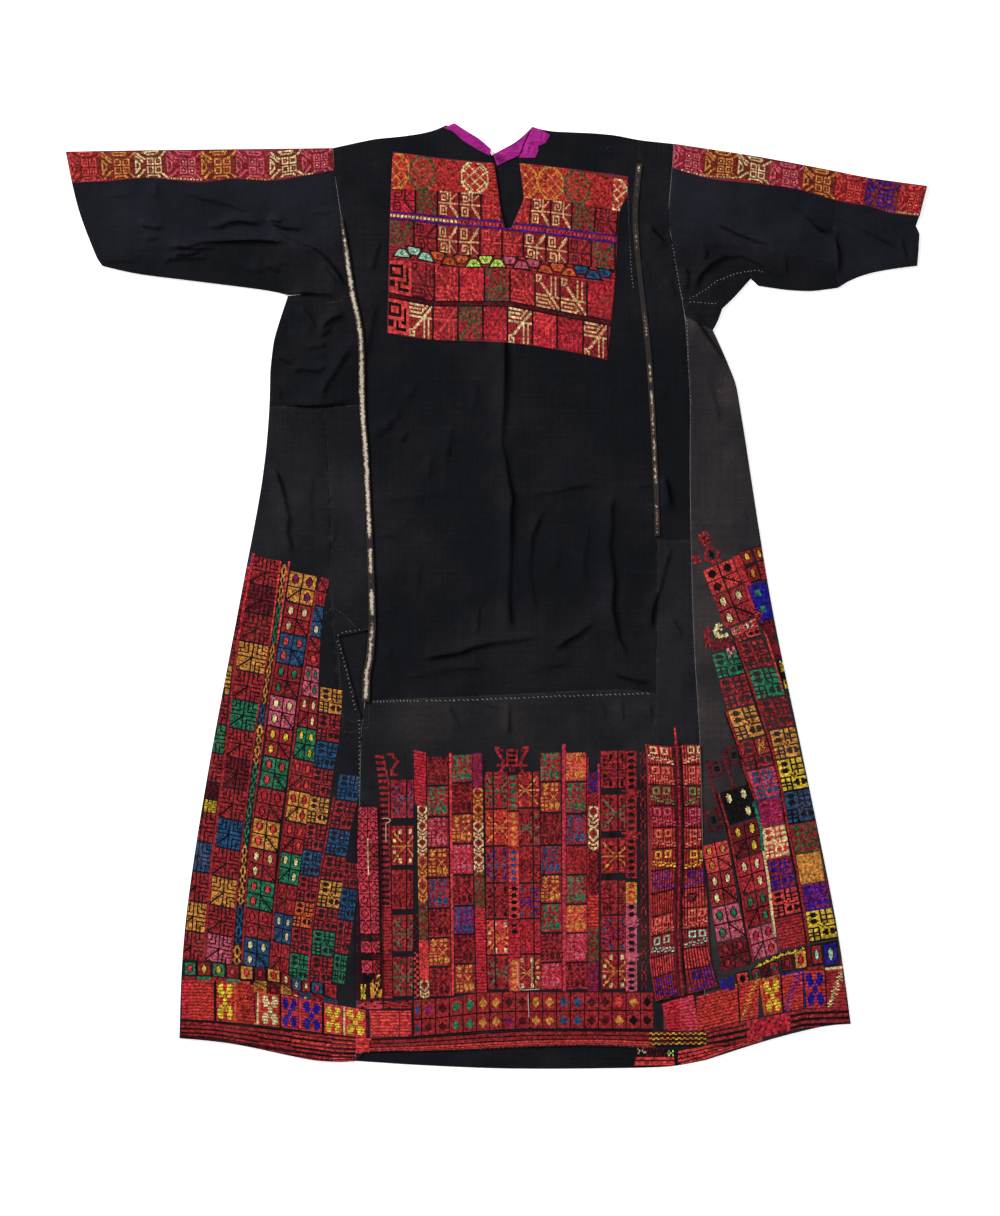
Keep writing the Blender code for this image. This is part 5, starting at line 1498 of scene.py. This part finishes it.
def running(line, length, gap, lean=0.0):
    """Short stitches one after another along a line, or leaning across it when whipped."""
    chance = np.random.default_rng(3)
    line, gone = measured(line)
    made, at = [], gap
    while at + length < gone[-1]:
        place = np.array([np.interp(at, gone, way) for way in line.T])
        ahead = np.array([np.interp(at + 0.5, gone, way) for way in line.T]) - place
        ahead /= np.linalg.norm(ahead)
        side = np.array((-ahead[1], ahead[0]))
        run = ahead * math.cos(lean) + side * math.sin(lean)
        run = run * length * chance.uniform(0.8, 1.2)
        start = place - (run / 2 if lean else 0) + chance.normal(0, 0.12, 2)
        made.append((start, start + run))
        at += (length if not lean else 0) + gap * chance.uniform(0.85, 1.2)
    return made


CORD_STEP, AROUND = 2.2, 5  # mm from one ring of a cord's corners to the next, and how many are in a ring


def sewing(name, strands, carriers, colour, wide=0.7):
    """Threads lying on the cloth as thin round cords of spun cotton, their ends going into it."""
    material, add, join = finish("thread_" + colour[0] + "_cotton", 0.7, 0.06)
    twist = mottle(add, add("ShaderNodeTexCoord")[3], 900.0, detail=1.0)
    shaded = dye(*[channel * 0.72 for channel in colour[1:]])
    join("Base Color", blended(add, ranged(add, twist, 0.3, 0.7), shaded, dye(*colour[1:])))
    trees = grounded(carriers)
    places, faces = [], []
    for strand in strands:
        strand, gone = measured([on_table(*spot) for spot in path(strand)])
        count = max(4, round(gone[-1] / CORD_STEP) + 1)
        steps = np.linspace(0, gone[-1], count)
        course = np.c_[np.interp(steps, gone, strand[:, 0]), np.interp(steps, gone, strand[:, 1])]
        if len(strand) > 2:
            course[1:-1] = (course[:-2] + 2 * course[1:-1] + course[2:]) / 4
        levels = np.array([level_of(trees, x, y) for x, y in course])
        if np.isnan(levels).all():
            continue
        levels = np.where(np.isnan(levels), np.nanmin(levels), levels) + wide * 0.2
        levels[[0, -1]] -= wide * 0.5
        ahead = np.gradient(course, axis=0)
        ahead /= np.linalg.norm(ahead, axis=1)[:, None]
        side = np.c_[-ahead[:, 1], ahead[:, 0]]
        first = len(places)
        for number in range(count):
            thin = 0.55 if number in (0, count - 1) else 1.0
            for turn in np.arange(AROUND) * math.tau / AROUND:
                out = course[number] + side[number] * math.cos(turn) * wide / 2 * thin
                places.append((*out, levels[number] + math.sin(turn) * wide / 2 * thin))
        for number in range(count - 1):
            for k in range(AROUND):
                a, b = (first + number * AROUND + turn % AROUND for turn in (k, k + 1))
                faces.append((a, a + AROUND, b + AROUND, b))
        faces.append([first + k for k in range(AROUND)])
        faces.append([first + count * AROUND - 1 - k for k in range(AROUND)])
    made = mesh_object(name, np.array(places), faces, material)
    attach(made, "root")


FRONTS = """front_centre front_lower shoulder_strip_right side_strip_right gore_right underarm_left
    side_strip_left gore_left sleeve_left sleeve_under_left sleeve_right sleeve_under_right gusset_right
    back_centre"""
whipped = []
for line, length, gap, lean in (
        ("371,702 400,701 423,701", 2.6, 3.2, 1.1),
        ("423,701 470,700 540,697 600,695 655,693", 2.9, 4.4, 0.6),
        ("337,637 345,665 350,685 357,715", 2.2, 4.2, 1.0), ("335,637 345,632 365,629", 2.2, 4.2, 1.0),
        ("359.5,716 359.5,760 359,800", 2.1, 4.2, 1.2), ("672,243 675,262 680,290 683,302", 1.6, 1.9, 0),
        ("630,245 630.5,262 632,280 634,291", 1.6, 1.9, 0),
        ("688,300 705,290 717,281 735,274 757,270 765,273", 1.6, 1.9, 0), ("688,302 718,304", 1.6, 1.9, 0),
        ("687,318 688,360 691,407", 1.6, 1.9, 0)):
    whipped += running(line, length, gap, lean)
sewing("stitches_white_seams", whipped, FRONTS, ("white", 196, 190, 182))
dotted = []
for line in ("690,410 691,470", "639,141 638.5,160", "628,178 628,205 630,245", "337,640 341,690 343,730",
             "343,731 350,733 357,730 369,727", "369,705 369,725", "332,597 332,608 320,617",
             "333,608 345,615 355,627", "325,304 336,302 345,300", "346,716 352,722 366,720"):
    dotted += running(line, 1.1, 1.5)
sewing("stitches_dotted_seams", dotted, FRONTS, ("grey", 128, 124, 122), 0.6)
sewing("threads_cream_loose",
       ("380,819 386,818 391,819 390,822 386,823 386,834 386,843", "518,962 518,985 522,990 540,989",
        "532,957 532,989", "528,994 529,1018"),
       "front_lower stitches_front_lower", ("cream", 226, 216, 180), 1.1)
sewing("stitches_hem_front", running(shifted(HEM_LINE[2:], 0, 0.3), 2.0, 4.3, 1.45),
       "front_lower stitches_front_lower", ("coral", 176, 62, 58), 1.7)
sewing("mends_blue", ("606,150 608,147 611,147", "610,172 616,176 625,178", "612,174 620,178"),
       "front_centre", ("blue", 52, 50, 128), 1.0)
sewing("mends_pink", ("718,391 725,395", "684,327 686,329"), "gore_right side_strip_right",
       ("pink", 150, 70, 90), 0.9)

# ---------------------------------------------------------------- The table, the light and the camera
# The dress lies on a plain pale table under broad soft light, brighter from the upper left,
# and is seen from straight above.

table_top, add, join = finish("pale_table", 0.7, 0.2)
tone = ranged(add, mottle(add, add("ShaderNodeTexCoord")[3], 2.0), 0.3, 0.7)
join("Base Color", blended(add, tone, (0.93, 0.93, 0.93, 1), (0.96, 0.96, 0.96, 1)))
join("Emission Color", (1.0, 1.0, 1.0, 1))
join("Emission Strength", 0.4)
bpy.ops.mesh.primitive_plane_add(size=16, location=(0, 0, -0.0002))
table_plane = bpy.context.object
table_plane.name = "table_top"
bpy.ops.object.transform_apply(location=True)
table_plane.data.materials.append(table_top)
table_plane.select_set(False)

world = bpy.data.worlds.new("soft_room")
bpy.context.scene.world = world
world.use_nodes = True
world.node_tree.nodes["Background"].inputs[0].default_value = (1.0, 1.0, 1.0, 1)
world.node_tree.nodes["Background"].inputs[1].default_value = 0.18
for name, spot, size, power in (("window", (-6.2, 5.3, 3.7), 2.4, 1500),
                                ("fill", (4.6, -3.6, 4.2), 3.4, 210), ("top", (0.2, -0.2, 7.5), 4.2, 90)):
    lamp = bpy.data.lights.new(name, "AREA")
    lamp.size, lamp.energy = size, power
    holder = bpy.data.objects.new(name, lamp)
    holder.location = spot
    holder.rotation_euler = (-Vector(spot)).to_track_quat("-Z", "Y").to_euler()
    bpy.context.scene.collection.objects.link(holder)

# The view takes in 1.4 m by 1.7024 m of the table.
SEEN, LENS, SENSOR = 1.7024, 110, 36
eye = bpy.data.cameras.new("overhead")
eye.lens, eye.sensor_width, eye.clip_end = LENS, SENSOR, 30
overhead = bpy.data.objects.new("overhead", eye)
overhead.location = (0.0049, -0.0168, SEEN * LENS / SENSOR)
bpy.context.scene.collection.objects.link(overhead)
bpy.context.scene.camera = overhead
bpy.context.scene.view_settings.view_transform = "Standard"
